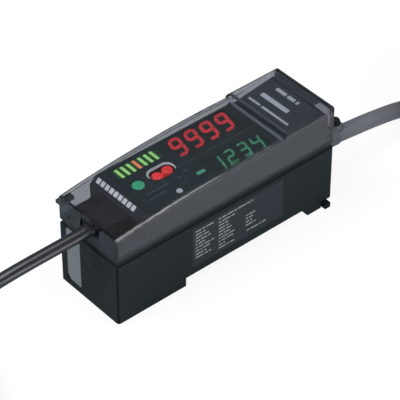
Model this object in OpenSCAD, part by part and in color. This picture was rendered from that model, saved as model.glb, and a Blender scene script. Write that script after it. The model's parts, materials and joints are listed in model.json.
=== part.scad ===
// Amplifier unit for a laser sensor head, made to clip on a 35 mm mounting rail.
// X runs along the unit: the sensor lead leaves at -X and the output cable at +X.
// Y runs across it, with the near side at -Y, and Z is up from the plane of its feet.
// The origin is under the middle of the case. Every size is in millimetres.

/* [Case] */
// Length of the case
body_l = 87; // [84:0.5:96]
// Width of the case
body_w = 27.7; // [27:0.1:31]
// Height of the lower case, up to the cover's lower edge
case_h = 24.5; // [23:0.5:30]
// Wall of the lower case
case_wall = 1.5; // [1.2:0.1:2]
// Radius of the case's upright corners
corner_r = 1; // [0.4:0.1:1.4]
// Height of the shadow groove under the cover
groove_h = 2; // [1:0.1:3]
// Depth of the shadow groove
groove_d = 0.5; // [0.2:0.1:0.7]

/* [Rail seat] */
// Width of the mounting rail
rail_w = 35; // [35:0.1:35.3]
// Thickness of the rail's flange
rail_t = 1; // [0.8:0.1:1.3]
// Middle of the rail seat along X
rail_x = 7; // [5:0.5:9]
// Length of the gap between the two feet
seat_l = 48; // [46:0.5:50]
// Depth of the rail seat
seat_h = 3.2; // [3:0.1:4]
// How far each hook reaches under the rail
hook_reach = 1.2; // [0.8:0.1:1.6]
// Width of the hooks across the case
hook_w = 18; // [12:1:20]
// Travel of the latch
latch_travel = 2; // [1.7:0.1:2.4]
// How far the latch's ears stand out of the sides
ear_out = 1.7; // [1:0.1:2]

/* [Frame and panel] */
// Height of the panel's upper face above the lower case
panel_up = 9.6; // [9.3:0.1:9.8]
// Thickness of the panel
panel_t = 0.8; // [0.6:0.1:1.2]
// Distance of the panel from the case's left end
panel_in = 14.2; // [13.5:0.1:15]
// Length of the panel
panel_l = 51.5; // [51:0.1:52.5]
// Wall of the inner frame
frame_wall = 1.2; // [1:0.1:1.6]
// Width of the frame's rim on the panel's near side
rim_near = 2.2; // [1:0.1:2.3]
// Width of the frame's rim on the panel's far side
rim_far = 0.4; // [0.3:0.1:1.5]
// Highest point of the sloping label deck above the lower case
label_up = 12; // [11.5:0.1:12.1]

/* [Cover] */
// Wall of the smoked cover
cover_t = 0.8; // [0.6:0.1:1.1]
// Highest point of the cover's crowned top above the lower case
crown_up = 12.7; // [12.5:0.1:13.1]
// Radius of the crowned top, seen from the side
crown_r = 400; // [350:10:600]
// Distance of the crown's highest point from the case's left end
crown_in = 55.5; // [51.5:0.5:59.5]
// Height of the cover's raised end above the lower case
raised_up = 13.5; // [13.3:0.1:14.1]
// Distance from the panel's end to the raised end
raised_off = 0.2; // [0.2:0.1:0.8]
// Radius of the cover's long upper edges
edge_r = 1.5; // [1:0.1:2]
// Gap between the cover and what it covers
cover_gap = 0.2; // [0.15:0.05:0.3]
// Radius of the cover's hinge pins
pin_r = 0.9; // [0.7:0.05:1]
// Running clearance round the hinge pins
pin_clear = 0.06; // [0.04:0.01:0.09]
// Distance of the hinge from the case's right end
hinge_back = 1.6; // [1.5:0.05:1.8]
// Height of the hinge above the lower case
hinge_up = 2.6; // [2.4:0.1:3]
// How far the opening tab stands out
tab_out = 2.4; // [1.5:0.1:3]

/* [Keys] */
// Diameter of the round set button
set_d = 4; // [3:0.1:5]
// Distance of the set button from the panel's left end
set_in = 6; // [4.8:0.1:6.6]
// Place of the set button across the panel
set_y = 0.5; // [-1:0.1:2]
// Travel of the set button
set_travel = 0.6; // [0.3:0.1:0.8]
// Length of the rocker key
rocker_l = 9.6; // [8:0.1:10.5]
// Width of the rocker key
rocker_w = 4.2; // [3.5:0.1:5]
// Distance of the rocker key from the panel's left end
rocker_in = 15.3; // [14.3:0.1:16.3]
// Place of the rocker key across the panel
rocker_y = 1.1; // [0:0.1:2]
// How far the rocker key lies below the panel
rocker_sunk = 0.9; // [0.5:0.1:1.2]
// Gap round the rocker key
key_gap = 0.35; // [0.3:0.05:0.5]
// Wall of the collar round the rocker key
collar_t = 0.5; // [0.4:0.1:0.7]

/* [Displays] */
// Height of a red digit
red_h = 8.3; // [7:0.1:8.6]
// Width of a red digit
red_w = 4.4; // [3.5:0.1:5]
// Stroke of a red digit
red_stroke = 1; // [0.6:0.1:1.2]
// Distance from one red digit to the next
red_pitch = 6.16; // [5.8:0.02:6.3]
// Height of a green digit
green_h = 6; // [5:0.1:6.4]
// Width of a green digit
green_w = 3.4; // [2.8:0.1:4]
// Stroke of a green digit
green_stroke = 0.6; // [0.4:0.1:0.9]
// Distance from one green digit to the next
green_pitch = 5.2; // [4.8:0.1:5.6]
// Lean of the digits in degrees
lean = 12; // [0:1:15]
// Number of bar lamps
bars = 7; // [5:1:7]
// Distance from one bar lamp to the next
bar_pitch = 2.23; // [2:0.01:2.4]
// Length of a bar lamp
bar_l = 4.4; // [3:0.1:5]
// Width of a bar lamp
bar_w = 1.3; // [0.8:0.1:1.6]

/* [Boards] */
// Thickness of the main board
board_t = 1.6; // [1:0.1:2]
// Height of the main board's upper face
board_z = 10; // [8.5:0.5:11]
// Thickness of the display board
top_board_t = 1; // [0.8:0.1:1.6]

/* [Cables] */
// Diameter of the output cable
cable_d = 5.5; // [4.5:0.1:5.6]
// Height of the output cable where it leaves the case
cable_z = 13; // [12:0.5:15]
// Diameter of one wire of the twin sensor lead
lead_d = 2.3; // [2:0.1:2.4]
// Height of the sensor lead above the lower case
lead_up = 5.1; // [5:0.1:5.5]
// Place of the sensor lead across the case
lead_y = -1.4; // [-2:0.1:-1]

/* [Hidden] */
$fn = 48;
eps = 0.02;

// Case
tall = 60;
x_end = body_l / 2;
y_side = body_w / 2;
y_inner = y_side - case_wall;
seat_x0 = rail_x - seat_l / 2;
seat_x1 = rail_x + seat_l / 2;
seat_lead = 2.3;
floor_t = case_wall;
end_cut = 2.5;
ear_x = x_end - 4.2;
ear_l = 2.2;
ear_lift = 0.25;
ear_room = 0.3;
hook_t = seat_h - rail_t - 0.1;

// Latch
latch_gap = 0.25;
latch_top = hook_t;
latch_rail = 1.2;
ledge_z = ear_lift + 0.55;
shoulder_x = seat_x1 + 1.6 - latch_travel;
post_x = ear_x - 4.7;
post_l = 1.4;
post_h = 1.9;
spring_l = 3.2;
spring_w = 4;
spring_leaf = 0.25;
spring_folds = 4;
rail_x0 = rail_x - rail_w / 2;
rail_x1 = rail_x + rail_w / 2;

// Inner frame
panel_z = case_h + panel_up;
panel_x0 = -x_end + panel_in;
panel_x1 = panel_x0 + panel_l;
label_z = case_h + label_up;
crown_z = case_h + crown_up;
crown_x = -x_end + crown_in;
raised_z = case_h + raised_up;
raised_x = panel_x1 + raised_off;
lead_z = case_h + lead_up;
y_frame = y_side - cover_t - cover_gap;
skirt_gap = 0.1;
skirt_h = 3;
bay_x = panel_x0 - 2.7;
bay_floor = case_h + 1.6;
bay_drop = 2.6;
deck_z = panel_z - panel_t;
panel_y0 = -(y_frame - rim_near);
panel_y1 = y_frame - rim_far;
label_x0 = raised_x + 0.8;
label_x1 = x_end - cover_t - 2.4;
label_low = panel_z + 0.2;
label_t = 0.4;
label_margin = 1;
label_y = 0.6;
label_tilt = atan2(label_z - label_low, label_x1 - label_x0);
label_l = (label_x1 - label_x0) / cos(label_tilt);

// Cover
hinge_x = x_end - hinge_back;
hinge_z = case_h + hinge_up;
cover_z0 = case_h + cover_gap;
hub_r = hinge_up - cover_gap - 0.05;
end_wall_z = hinge_z + 4;
pin_l = 1.6;
pin_in = 0.2;
raise_run = 0.9;
notch_w = 9;
notch_z1 = lead_z + 2.5;
saddle_z = lead_z - lead_d / 2 - 0.2;
tab_l = 5;
tab_t = 1.2;
tab_z = case_h + 4.3;
seam_w = 0.7;
seam_d = 0.35;
seam_y0 = 8.9;
seam_z0 = case_h + 2.9;
seam_lean = 41;
seam_l = 10.3;

// Plate on the left end and label on the near side
end_plate_t = 0.6;
end_plate_y0 = 4;
end_plate_y1 = 10.5;
end_plate_z0 = 2.5;
end_plate_cut = 1.6;
side_label_t = 0.2;
side_label_x0 = -14.4;
side_label_x1 = 22.5;
side_label_z0 = 6;
side_label_z1 = 21;

// Keys
set_x = panel_x0 + set_in;
rocker_x = panel_x0 + rocker_in;
set_gap = 0.25;
set_proud = 0.25;
rocker_h = 3.6;
rocker_span = rocker_l - rocker_w;
collar_l = rocker_l + 2 * key_gap + 2 * collar_t;
collar_w = rocker_w + 2 * key_gap + 2 * collar_t;
dome_h = 1;
collar_h = 2.4;
pivot_z = panel_z - 3.2;
pivot_r = 0.6;
pivot_out = 1.8;

// Displays
lens_under = 0.05;
segment_t = 0.4;
face_z = panel_z - lens_under - segment_t;
fit_gap = 0.05;
red_x = panel_x0 + 36.1;
red_y = 6.8;
green_x = panel_x0 + 38.7;
green_y = -6.95;
red_box_l = 4 * red_pitch + 0.8;
red_box_w = red_h + 1.2;
green_box_l = 4 * green_pitch + 0.8;
green_box_w = green_h + 0.6;
bar_x = panel_x0 + 5.1;
bar_y = 8.3;
lamp_x = panel_x0 + 24.2;
lamp_y = -6.8;
lamp_l = 3;
lamp_w = 1.3;
stud_x = panel_x0 + 13.7;
stud_y = -9.4;
stud_r = 1;
red_code = [9, 9, 9, 9];
green_code = [1, 2, 3, 4];
orange_bar = 3;
lit_strokes = ["abcdef", "bc", "abdeg", "abcdg", "bcfg", "acdfg", "acdefg", "abc", "abcdefg", "abcdfg"];
stroke_ends = [[0, 1], [1, 3], [3, 5], [4, 5], [2, 4], [0, 2], [2, 3]];

// Boards
top_board_z = panel_z - 7.4;
top_board_w = 2 * (y_inner - skirt_gap - frame_wall - 0.25);
top_board_x0 = bay_x + frame_wall + 0.5;
top_board_x1 = panel_x1 - 0.4;
switch_z = top_board_z + 2.45;
stake_r = 1.2;
peg_r = 0.6;
post_places = [[panel_x0 + 1.3, 9.6], [panel_x0 + 1.3, -9.6], [panel_x1 - 1.7, -0.8]];
board_x0 = -(x_end - case_wall - 1.5);
board_x1 = x_end - case_wall - 6;
board_w = 2 * (y_inner - 1);
boss_r = 2;
screw_r = 0.9;
screw_in = 3;
// Chips: place from the board's left end, place across it, length, width and height
chips = [[17.5, 0, 10, 10, 1.6], [29, -6.5, 5, 4, 1.5], [29, 5, 5, 4, 1.5], [44, -6.5, 6, 5, 1.8]];
// Capacitors: place from the board's right end, and across it
can_places = [[22, 5], [13, 5], [13, -5]];
can_r = 3.1;
can_h = 7;
can_foot = 0.8;
link_x = 0;
link_l = 16;
link_w = 4;

// Sensor lead, plug and its hank
plug_x0 = -(x_end - 1.9);
plug_l = 5.2;
plug_w = 9;
plug_h = 4.2;
nose_w = 7.6;
nose_h = 2.4;
socket_l = 4;
lead_w = 2 * lead_d;
lead_hank_x = -129;
lead_hank_y = -5;
lead_hank_run = 46;
lead_hank_r = 12;
lead_hank_h = 14.4;
lead_plug_l = 30;
lead_plug_r = 4.4;
lead_plug_z = lead_plug_r + 0.1;

// Output cable, boot and its hank
boot_l = 14;
boot_w = 8;
boot_h = 7.4;
boot_tilt = 6.8;
cable_hank_x = 135;
cable_hank_y = -12;
cable_hank_run = 46;
cable_hank_r = 16.5;
cable_layers = 4;
wire_r = 0.6;
wire_l = 30;
strip_l = 6;

// Routes, chosen by hand: the middle of the lead and of the cable.
lead_route = [
    [-60, -1.4, 29.5], [-70, -1.4, 29.3],
    [-79, -1.3, 28.6], [-88, -0.8, 26.6], [-97, 0.4, 23.2], [-105, 2, 19.6],
    [-113, 4.4, 16.8], [-122, 6.4, 15.7], [-134, 7, 15.6], [-148, 7, 15.6]
];
cable_route = [
    [64, 0, 10.5], [72, 0, 9.5], [80, 0, 8.2], [84.6, 0.1, 7.2], [88.6, 0.3, 6]
];
lead_points = concat([[plug_x0, lead_y, lead_z], [plug_x0 - 8, lead_y, lead_z]], lead_route);
function in_boot(t) = [x_end + t * cos(boot_tilt), 0, cable_z - t * sin(boot_tilt)];
cable_points = concat([in_boot(-6), in_boot(2), in_boot(boot_l - 1)], cable_route);

// Swept tubes
function unit(v) = v / norm(v);
function spline(a, b, c, d, t) =
    ((2 * b) + (c - a) * t + (2 * a - 5 * b + 4 * c - d) * t * t + (3 * b - a - 3 * c + d) * t * t * t) / 2;
function smooth_route(p, cuts) = concat(
    [
        for (i = [0 : len(p) - 2], k = [0 : cuts - 1])
            spline(p[max(i - 1, 0)], p[i], p[i + 1], p[min(i + 2, len(p) - 1)], k / cuts)
    ],
    [p[len(p) - 1]]
);
function heading(p, i) = unit(p[min(i + 1, len(p) - 1)] - p[max(i - 1, 0)]);
function ring(p, i, wide, thick, sides) =
    let (
        along = heading(p, i),
        across = unit(cross([0, 0, 1], along)),
        over = cross(along, across)
    )
    [
        for (k = [0 : sides - 1])
            let (a = 360 * (k + 0.5) / sides)
            p[i] + across * (wide * cos(a)) + over * (thick * sin(a))
    ];

module tube(points, wide, thick, sides) {
    n = len(points);
    rings = [for (i = [0 : n - 1]) each ring(points, i, wide, thick, sides)];
    walls = [
        for (i = [0 : n - 2], k = [0 : sides - 1])
            [
                i * sides + k,
                i * sides + (k + 1) % sides,
                (i + 1) * sides + (k + 1) % sides,
                (i + 1) * sides + k
            ]
    ];
    first = [for (k = [sides - 1 : -1 : 0]) k];
    last = [for (k = [0 : sides - 1]) (n - 1) * sides + k];
    polyhedron(points = rings, faces = concat([first], walls, [last]));
}

// Plain shapes used by several pieces
module block(x0, x1, y0, y1, z0, z1) {
    translate([x0, y0, z0]) cube([x1 - x0, y1 - y0, z1 - z0]);
}

module rounded_box(l, w, r) {
    // A flat plan with round corners
    union() {
        square([l - 2 * r, w], center = true);
        square([l, w - 2 * r], center = true);
        for (x = [-1, 1], y = [-1, 1])
            translate([x * (l / 2 - r), y * (w / 2 - r)]) circle(r = r);
    }
}

module stadium(l, w) {
    square([l - w, w], center = true);
    for (s = [-1, 1]) translate([s * (l - w) / 2, 0]) circle(d = w);
}

module side_prism(w) {
    // Carries an outline drawn in X and Z across the case
    rotate([90, 0, 0]) linear_extrude(w, center = true) children();
}

// Lower case
module case_outline() {
    // Side view: feet, rail seat with its slanted lead-in, and the cut lower corner
    polygon([
        [-x_end, 0], [seat_x0, 0], [seat_x0, seat_h], [seat_x1, seat_h], [seat_x1 + seat_lead, 0],
        [x_end - end_cut, 0], [x_end, end_cut], [x_end, case_h], [-x_end, case_h]
    ]);
}

module case_hollow() {
    // The inside: low over the left foot, higher over the rail seat and the latch
    side_prism(2 * y_inner) polygon([
        [-x_end + case_wall, floor_t], [seat_x0 - case_wall, floor_t],
        [seat_x0 - case_wall, seat_h + floor_t], [x_end - case_wall, seat_h + floor_t],
        [x_end - case_wall, case_h + 1], [-x_end + case_wall, case_h + 1]
    ]);
}

module latch_channel() {
    // The way that the latch slides in, open below at the rail seat
    side = hook_w / 2 + latch_gap;
    x0 = rail_x1 - hook_reach - 1;
    difference() {
        union() {
            block(x0, x_end + 1, -side, side, ledge_z - 0.1, latch_top + latch_gap);
            block(x0, x_end + 1, -side + latch_rail, side - latch_rail, -1, latch_top + latch_gap);
            // Slots through the right foot for the latch's ears
            block(ear_x - ear_room, x_end + 1, -y_side - 1, y_side + 1, -1, latch_top + latch_gap);
        }
        // Post that the spring pushes against
        block(post_x, post_x + post_l, -spring_w / 2, spring_w / 2, latch_top + latch_gap - post_h, seat_h);
    }
}

module fixed_hook() {
    // Reaches under the rail's left edge
    side_prism(hook_w) polygon([
        [seat_x0 - 0.5, 0.3], [rail_x0 + hook_reach - 0.5, 0.3], [rail_x0 + hook_reach, 0.8],
        [rail_x0 + hook_reach, hook_t], [rail_x0 - 0.2, hook_t], [rail_x0 - 0.2, seat_h + 0.5],
        [seat_x0 - 0.5, seat_h + 0.5]
    ]);
}

module at_board_screws() {
    for (x = [board_x0 + screw_in, board_x1 - screw_in], y = [-1, 1])
        translate([x, y * (board_w / 2 - screw_in), 0]) children();
}

module board_bosses() {
    difference() {
        at_board_screws() cylinder(r = boss_r, h = board_z - board_t);
        block(seat_x0, x_end, -y_side, y_side, -1, seat_h + 0.5);
        block(-x_end, seat_x0, -y_side, y_side, -1, floor_t - 0.5);
    }
}

module lower_case() {
    color([0.16, 0.17, 0.18]) difference() {
        union() {
            difference() {
                intersection() {
                    side_prism(body_w) case_outline();
                    linear_extrude(case_h) rounded_box(body_l, body_w, corner_r);
                }
                case_hollow();
                latch_channel();
            }
            fixed_hook();
            board_bosses();
        }
        // Shadow groove under the cover
        translate([0, 0, case_h - groove_h]) linear_extrude(groove_h + 1) difference() {
            square([body_l + 2, body_w + 2], center = true);
            rounded_box(body_l - 2 * groove_d, body_w - 2 * groove_d, corner_r);
        }
        // Hole for the output cable's boot
        translate([x_end - case_wall - 1, 0, cable_z]) rotate([0, 90, 0])
            linear_extrude(case_wall + 2) rotate(90) stadium(boot_w - 1, boot_h - 1.4);
        // Seat of the light plate on the left end
        block(-x_end - 1, -x_end + end_plate_t, end_plate_y0 - fit_gap, end_plate_y1 + fit_gap,
              end_plate_z0 - fit_gap, case_h - groove_h);
        // Seat of the side label
        block(side_label_x0 - fit_gap, side_label_x1 + fit_gap, -y_side - 1, -y_side + side_label_t,
              side_label_z0 - fit_gap, side_label_z1 + fit_gap);
        // Screw holes in the board's bosses
        at_board_screws() translate([0, 0, seat_h + floor_t]) cylinder(r = screw_r, h = board_z);
    }
}

// Light plate on the left end
module end_plate() {
    color([0.42, 0.45, 0.48])
        translate([-x_end + end_plate_t, 0, 0]) rotate([90, 0, -90]) linear_extrude(end_plate_t - 0.1)
            polygon([
                [-end_plate_y0, end_plate_z0], [-end_plate_y0, case_h - groove_h - fit_gap],
                [-end_plate_y1, case_h - groove_h - fit_gap], [-end_plate_y1, end_plate_z0 + end_plate_cut],
                [-end_plate_y1 + end_plate_cut, end_plate_z0]
            ]);
}

// Bare label on the near side
module side_label() {
    color([0.13, 0.14, 0.16])
        block(side_label_x0, side_label_x1, -y_side, -y_side + side_label_t, side_label_z0, side_label_z1);
}

// Inner frame: the moulding that carries the panel and the hinge
module frame_outline() {
    // Side view: bay, slanted face, panel deck, label slope and hinge end
    polygon([
        [-x_end + cover_t + cover_gap, case_h], [-x_end + cover_t + cover_gap, bay_floor],
        [bay_x, bay_floor], [bay_x, panel_z - bay_drop], [panel_x0, panel_z],
        [label_x0 - 0.6, panel_z], [label_x0, label_low], [label_x1, label_z],
        [label_x1 + 0.5, label_z - 0.6], [label_x1 + 0.5, end_wall_z - 0.5],
        [x_end - 0.2, end_wall_z - 0.5], [x_end - 0.2, case_h]
    ]);
}

module frame_inside() {
    // The space for the display board and what stands on it
    y = y_frame - frame_wall;
    side_prism(2 * y) polygon([
        [bay_x + frame_wall, case_h - skirt_h - 1], [bay_x + frame_wall, panel_z - bay_drop - 0.6],
        [panel_x0 + 0.4, deck_z - frame_wall], [label_x0, deck_z - frame_wall],
        [label_x1 - 1, label_z - frame_wall - 0.5], [label_x1 - 1, case_h - skirt_h - 1]
    ]);
}

module frame_skirt() {
    // Drops into the lower case all round
    y = y_inner - skirt_gap;
    x = x_end - case_wall - skirt_gap;
    translate([0, 0, case_h - skirt_h]) linear_extrude(skirt_h + 0.5) difference() {
        square([2 * x, 2 * y], center = true);
        square([2 * (x - frame_wall), 2 * (y - frame_wall)], center = true);
    }
}

module display_windows() {
    translate([red_x, red_y, 0]) linear_extrude(tall)
        square([red_box_l + 2 * fit_gap, red_box_w + 2 * fit_gap], center = true);
    translate([green_x, green_y, 0]) linear_extrude(tall)
        square([green_box_l + 2 * fit_gap, green_box_w + 2 * fit_gap], center = true);
}

module lamp_windows() {
    for (i = [0 : bars - 1])
        translate([bar_x + i * bar_pitch, bar_y, 0]) linear_extrude(tall)
            square([bar_w + 2 * fit_gap, bar_l + 2 * fit_gap], center = true);
    translate([lamp_x, lamp_y, 0]) linear_extrude(tall)
        square([lamp_l + 2 * fit_gap, lamp_w + 2 * fit_gap], center = true);
}

module key_windows() {
    translate([set_x, set_y, 0]) cylinder(d = set_d + 2 * set_gap, h = tall);
    translate([rocker_x, rocker_y, 0]) linear_extrude(tall)
        stadium(collar_l + 2 * fit_gap, collar_w + 2 * fit_gap);
}

module rocker_ears() {
    // Two ears under the deck, with the bores that the rocker turns in
    gap = rocker_w / 2 + key_gap + collar_t + fit_gap;
    for (s = [-1, 1])
        translate([rocker_x, rocker_y + s * (gap + 0.5), 0])
            difference() {
                translate([-1.6, -0.5, pivot_z - 1.4]) cube([3.2, 1, deck_z - frame_wall - pivot_z + 1.6]);
                translate([0, 1, pivot_z]) rotate([90, 0, 0]) cylinder(r = pivot_r + pin_clear, h = 2);
            }
}

module board_posts() {
    // Posts down to the display board, each with a peg through it
    for (p = post_places)
        translate([p[0], p[1], 0]) {
            translate([0, 0, top_board_z]) cylinder(r = stake_r, h = deck_z - frame_wall - top_board_z + 0.2);
            translate([0, 0, top_board_z - top_board_t - 0.5]) cylinder(r = peg_r, h = top_board_t + 1);
        }
}

module chamfer_bars() {
    // Takes the sharp long edges off the deck, under the cover's round ones
    for (s = [-1, 1])
        rotate([90, 0, 90]) linear_extrude(label_x0 - 0.6 + x_end) translate([0, panel_z])
            polygon([
                [s * (y_frame - rim_far), 0.01], [s * (y_frame + 0.01), -rim_far], [s * (y_frame + 1), 1]
            ]);
}

module upper_frame() {
    color([0.25, 0.27, 0.29]) difference() {
        union() {
            difference() {
                side_prism(2 * y_frame) frame_outline();
                frame_inside();
                // Seat of the panel
                block(panel_x0 - fit_gap, panel_x1 + fit_gap, panel_y0 - fit_gap, panel_y1 + fit_gap,
                      deck_z, tall);
                display_windows();
                lamp_windows();
                key_windows();
                translate([-x_end, 0, 0]) chamfer_bars();
            }
            frame_skirt();
            rocker_ears();
            board_posts();
            // Saddle under the sensor lead, in the cover's notch
            block(-x_end + 0.1, plug_x0 - 0.1, lead_y - notch_w / 2 + cover_gap,
                  lead_y + notch_w / 2 - cover_gap, case_h, saddle_z);
        }
        // Bores of the cover's hinge
        for (s = [-1, 1])
            translate([hinge_x, s * (y_frame - pin_l - pin_in), hinge_z]) rotate([-90 * s, 0, 0])
                cylinder(r = pin_r + pin_clear, h = pin_l + 1);
        // Room for the stud in the panel's near edge
        translate([stud_x, stud_y, deck_z - 2]) cylinder(r = 0.6 + fit_gap, h = 3);
        // Seat of the plate on the label slope
        translate([0, 0, -0.2]) label_form(fit_gap, 3);
    }
}

// Panel
module front_panel() {
    color([0.12, 0.14, 0.15]) difference() {
        block(panel_x0, panel_x1, panel_y0, panel_y1, deck_z, panel_z);
        display_windows();
        lamp_windows();
        key_windows();
        translate([stud_x, stud_y, deck_z - 1]) cylinder(r = 0.6 + fit_gap, h = 3);
    }
}

// Bare plate on the sloping deck
module label_form(grow, h) {
    translate([label_x0, 0, label_low]) rotate([0, -label_tilt, 0]) linear_extrude(h)
        translate([label_l / 2, label_y])
            rounded_box(label_l - 2 * label_margin + 2 * grow, 2 * y_frame - 2.4 + 2 * grow, 0.8);
}

module label_plate() {
    color([0.16, 0.19, 0.22]) translate([0, 0, -0.2]) label_form(0, label_t);
}

// Smoked cover
module crowned_top(inset, r) {
    // A wheel with a round-edged tread: its rim is the cover's crowned top
    rim = crown_r - inset;
    half = y_side - inset;
    translate([crown_x, 0, crown_z - crown_r]) rotate([90, 0, 0]) rotate_extrude($fn = 360) {
        translate([rim - tall, -half + r]) square([tall, 2 * half - 2 * r]);
        translate([rim - tall, -half]) square([tall - r, 2 * half]);
        for (s = [-1, 1]) translate([rim - r, s * (half - r)]) circle(r = r, $fn = 32);
    }
}

module raised_end(inset, r) {
    // The straight, higher end, with round long edges
    half = y_side - inset;
    top = raised_z - inset;
    intersection() {
        union() {
            block(0, x_end, -half, half, 0, top - r);
            block(0, x_end, -half + r, half - r, 0, top);
            for (s = [-1, 1])
                translate([0, s * (half - r), top - r]) rotate([0, 90, 0]) cylinder(r = r, h = x_end);
        }
        side_prism(2 * body_w) polygon([
            [raised_x + inset, 0], [raised_x + inset, crown_z - 1.2], [raised_x + inset + raise_run, raised_z],
            [x_end + 1, raised_z], [x_end + 1, 0]
        ]);
    }
}

module cover_form(inset, r, low) {
    // The whole outline of the cover, drawn in from its outside by the inset
    intersection() {
        union() {
            intersection() {
                crowned_top(inset, r);
                block(-x_end - 1, raised_x + raise_run + inset + 1, -y_side, y_side, low, tall);
            }
            raised_end(inset, r);
        }
        translate([0, 0, low]) linear_extrude(tall)
            rounded_box(body_l - 2 * inset, body_w - 2 * inset, max(corner_r - inset, 0.2));
    }
}

module hinge_relief() {
    // Takes away the cover's lower corner outside its round hubs
    side_prism(2 * body_w) difference() {
        translate([hinge_x, case_h - 1]) square([20, hinge_up + 1]);
        translate([hinge_x, hinge_z]) circle(r = hub_r);
    }
    // And the end wall below its edge, so that it clears the case as it swings
    block(x_end - cover_t - 0.1, x_end + 1, -y_side + cover_t, y_side - cover_t, 0, end_wall_z);
}

module dust_cover() {
    color([0.35, 0.37, 0.39, 0.5]) {
        difference() {
            cover_form(0, edge_r, cover_z0);
            cover_form(cover_t, edge_r - cover_t, cover_z0 - 1);
            hinge_relief();
            // Notch over the sensor lead
            block(-x_end - 1, -x_end + cover_t + 0.5, lead_y - notch_w / 2, lead_y + notch_w / 2, 0, notch_z1);
            // Slanting seam on the left end
            translate([-x_end, seam_y0, seam_z0]) rotate([seam_lean, 0, 0])
                translate([-1, -seam_w / 2, 0]) cube([1 + seam_d, seam_w, seam_l]);
        }
        // Opening tab at the far left corner
        block(-x_end + corner_r, -x_end + corner_r + tab_l, y_side - 0.3, y_side + tab_out, tab_z - tab_t / 2,
              tab_z + tab_t / 2);
        // Hinge pins on the inside of the two walls
        for (s = [-1, 1])
            translate([hinge_x, s * (y_side - cover_t + 0.1), hinge_z]) rotate([90 * s, 0, 0])
                cylinder(r = pin_r, h = cover_gap + pin_l + 0.1);
    }
}

// Sprung latch under the right foot
module rail_latch() {
    y = hook_w / 2;
    x1 = ear_x + ear_l;
    color([0.1, 0.1, 0.1]) difference() {
        union() {
            // Hook, with a slanted nose that the rail pushes aside
            side_prism(2 * y) polygon([
                [rail_x1 - hook_reach, 1.5], [rail_x1 - hook_reach + 1.1, ear_lift], [shoulder_x, ear_lift],
                [shoulder_x, latch_top], [rail_x1 - hook_reach, latch_top]
            ]);
            // Tongue between the ledges, and its rails on top of them
            block(shoulder_x - 0.5, x1, -y + latch_rail, y - latch_rail, ear_lift, latch_top);
            block(shoulder_x - 0.5, x1, -y, y, ledge_z, latch_top);
            // Ears to pull it by, from either side
            block(ear_x, x1, -y_side - ear_out, y_side + ear_out, ear_lift, latch_top);
        }
        // Window round the spring and its post
        block(post_x - spring_l, post_x + post_l + 0.1, -spring_w / 2 - 0.3, spring_w / 2 + 0.3, -1, 5);
    }
}

module latch_spring() {
    // A leaf folded to and fro between the latch and the post
    pitch = (spring_l - spring_leaf) / spring_folds;
    color([0.7, 0.7, 0.72]) for (i = [0 : spring_folds]) {
        x = post_x - spring_l + i * pitch;
        s = i % 2 == 0 ? 1 : -1;
        block(x, x + spring_leaf, -spring_w / 2, spring_w / 2, ledge_z, latch_top - 0.2);
        if (i < spring_folds)
            block(x, x + pitch + spring_leaf, s > 0 ? spring_w / 2 - spring_leaf : -spring_w / 2,
                  s > 0 ? spring_w / 2 : -spring_w / 2 + spring_leaf, ledge_z, latch_top - 0.2);
    }
}

// Keys
module set_button() {
    r = set_d / 2;
    under = deck_z - frame_wall;
    color([0.28, 0.6, 0.42]) translate([set_x, set_y, 0]) {
        translate([0, 0, under - 0.5]) cylinder(r = r, h = panel_z + set_proud - 0.2 - under + 0.5);
        translate([0, 0, panel_z + set_proud - 0.2]) cylinder(r1 = r, r2 = r - 0.2, h = 0.2);
        // Rim that holds it under the deck
        translate([0, 0, under - 1]) cylinder(r = r + 0.6, h = 0.9);
        translate([0, 0, switch_z + set_travel + 0.05])
            cylinder(r = 1, h = under - 0.5 - switch_z - set_travel);
    }
}

module rocker_key() {
    top = panel_z - rocker_sunk;
    ball = (rocker_w * rocker_w / 4 + dome_h * dome_h) / (2 * dome_h);
    color([0.85, 0.22, 0.2]) translate([rocker_x, rocker_y, 0]) {
        translate([0, 0, top - rocker_h]) linear_extrude(rocker_h - dome_h) stadium(rocker_l, rocker_w);
        // A domed button on each half
        for (s = [-1, 1])
            translate([s * rocker_span / 2, 0, 0]) intersection() {
                translate([0, 0, top - ball]) sphere(r = ball);
                translate([0, 0, top - dome_h - 0.2]) cylinder(r = rocker_w / 2, h = dome_h + 1);
            }
        // Pins that it turns on
        translate([0, rocker_w / 2 + pivot_out, pivot_z]) rotate([90, 0, 0])
            cylinder(r = pivot_r, h = rocker_w + 2 * pivot_out);
    }
}

module rocker_collar() {
    color([0.72, 0.74, 0.76]) translate([rocker_x, rocker_y, panel_z - collar_h]) linear_extrude(collar_h)
        difference() {
            stadium(collar_l, collar_w);
            stadium(rocker_l + 2 * key_gap, rocker_w + 2 * key_gap);
        }
}

module panel_stud() {
    color([0.75, 0.77, 0.78]) translate([stud_x, stud_y, 0]) {
        translate([0, 0, panel_z]) cylinder(r1 = stud_r, r2 = stud_r - 0.15, h = 0.3);
        translate([0, 0, deck_z - 1.6]) cylinder(r = 0.6, h = panel_t + 1.6);
    }
}

// Lamps: light guides that stand on the display board
module bar_lamp(i) {
    translate([bar_x + i * bar_pitch, bar_y, top_board_z]) linear_extrude(panel_z - lens_under - top_board_z)
        square([bar_w, bar_l], center = true);
}

module green_bar_lamps() {
    color([0.6, 0.85, 0.5]) for (i = [0 : bars - 1]) if (i != orange_bar) bar_lamp(i);
}

module orange_bar_lamp() {
    color([0.85, 0.5, 0.3]) bar_lamp(orange_bar);
}

module small_lamp() {
    color([0.5, 0.8, 0.55]) translate([lamp_x, lamp_y, top_board_z])
        linear_extrude(panel_z - lens_under - top_board_z) square([lamp_l, lamp_w], center = true);
}

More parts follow.
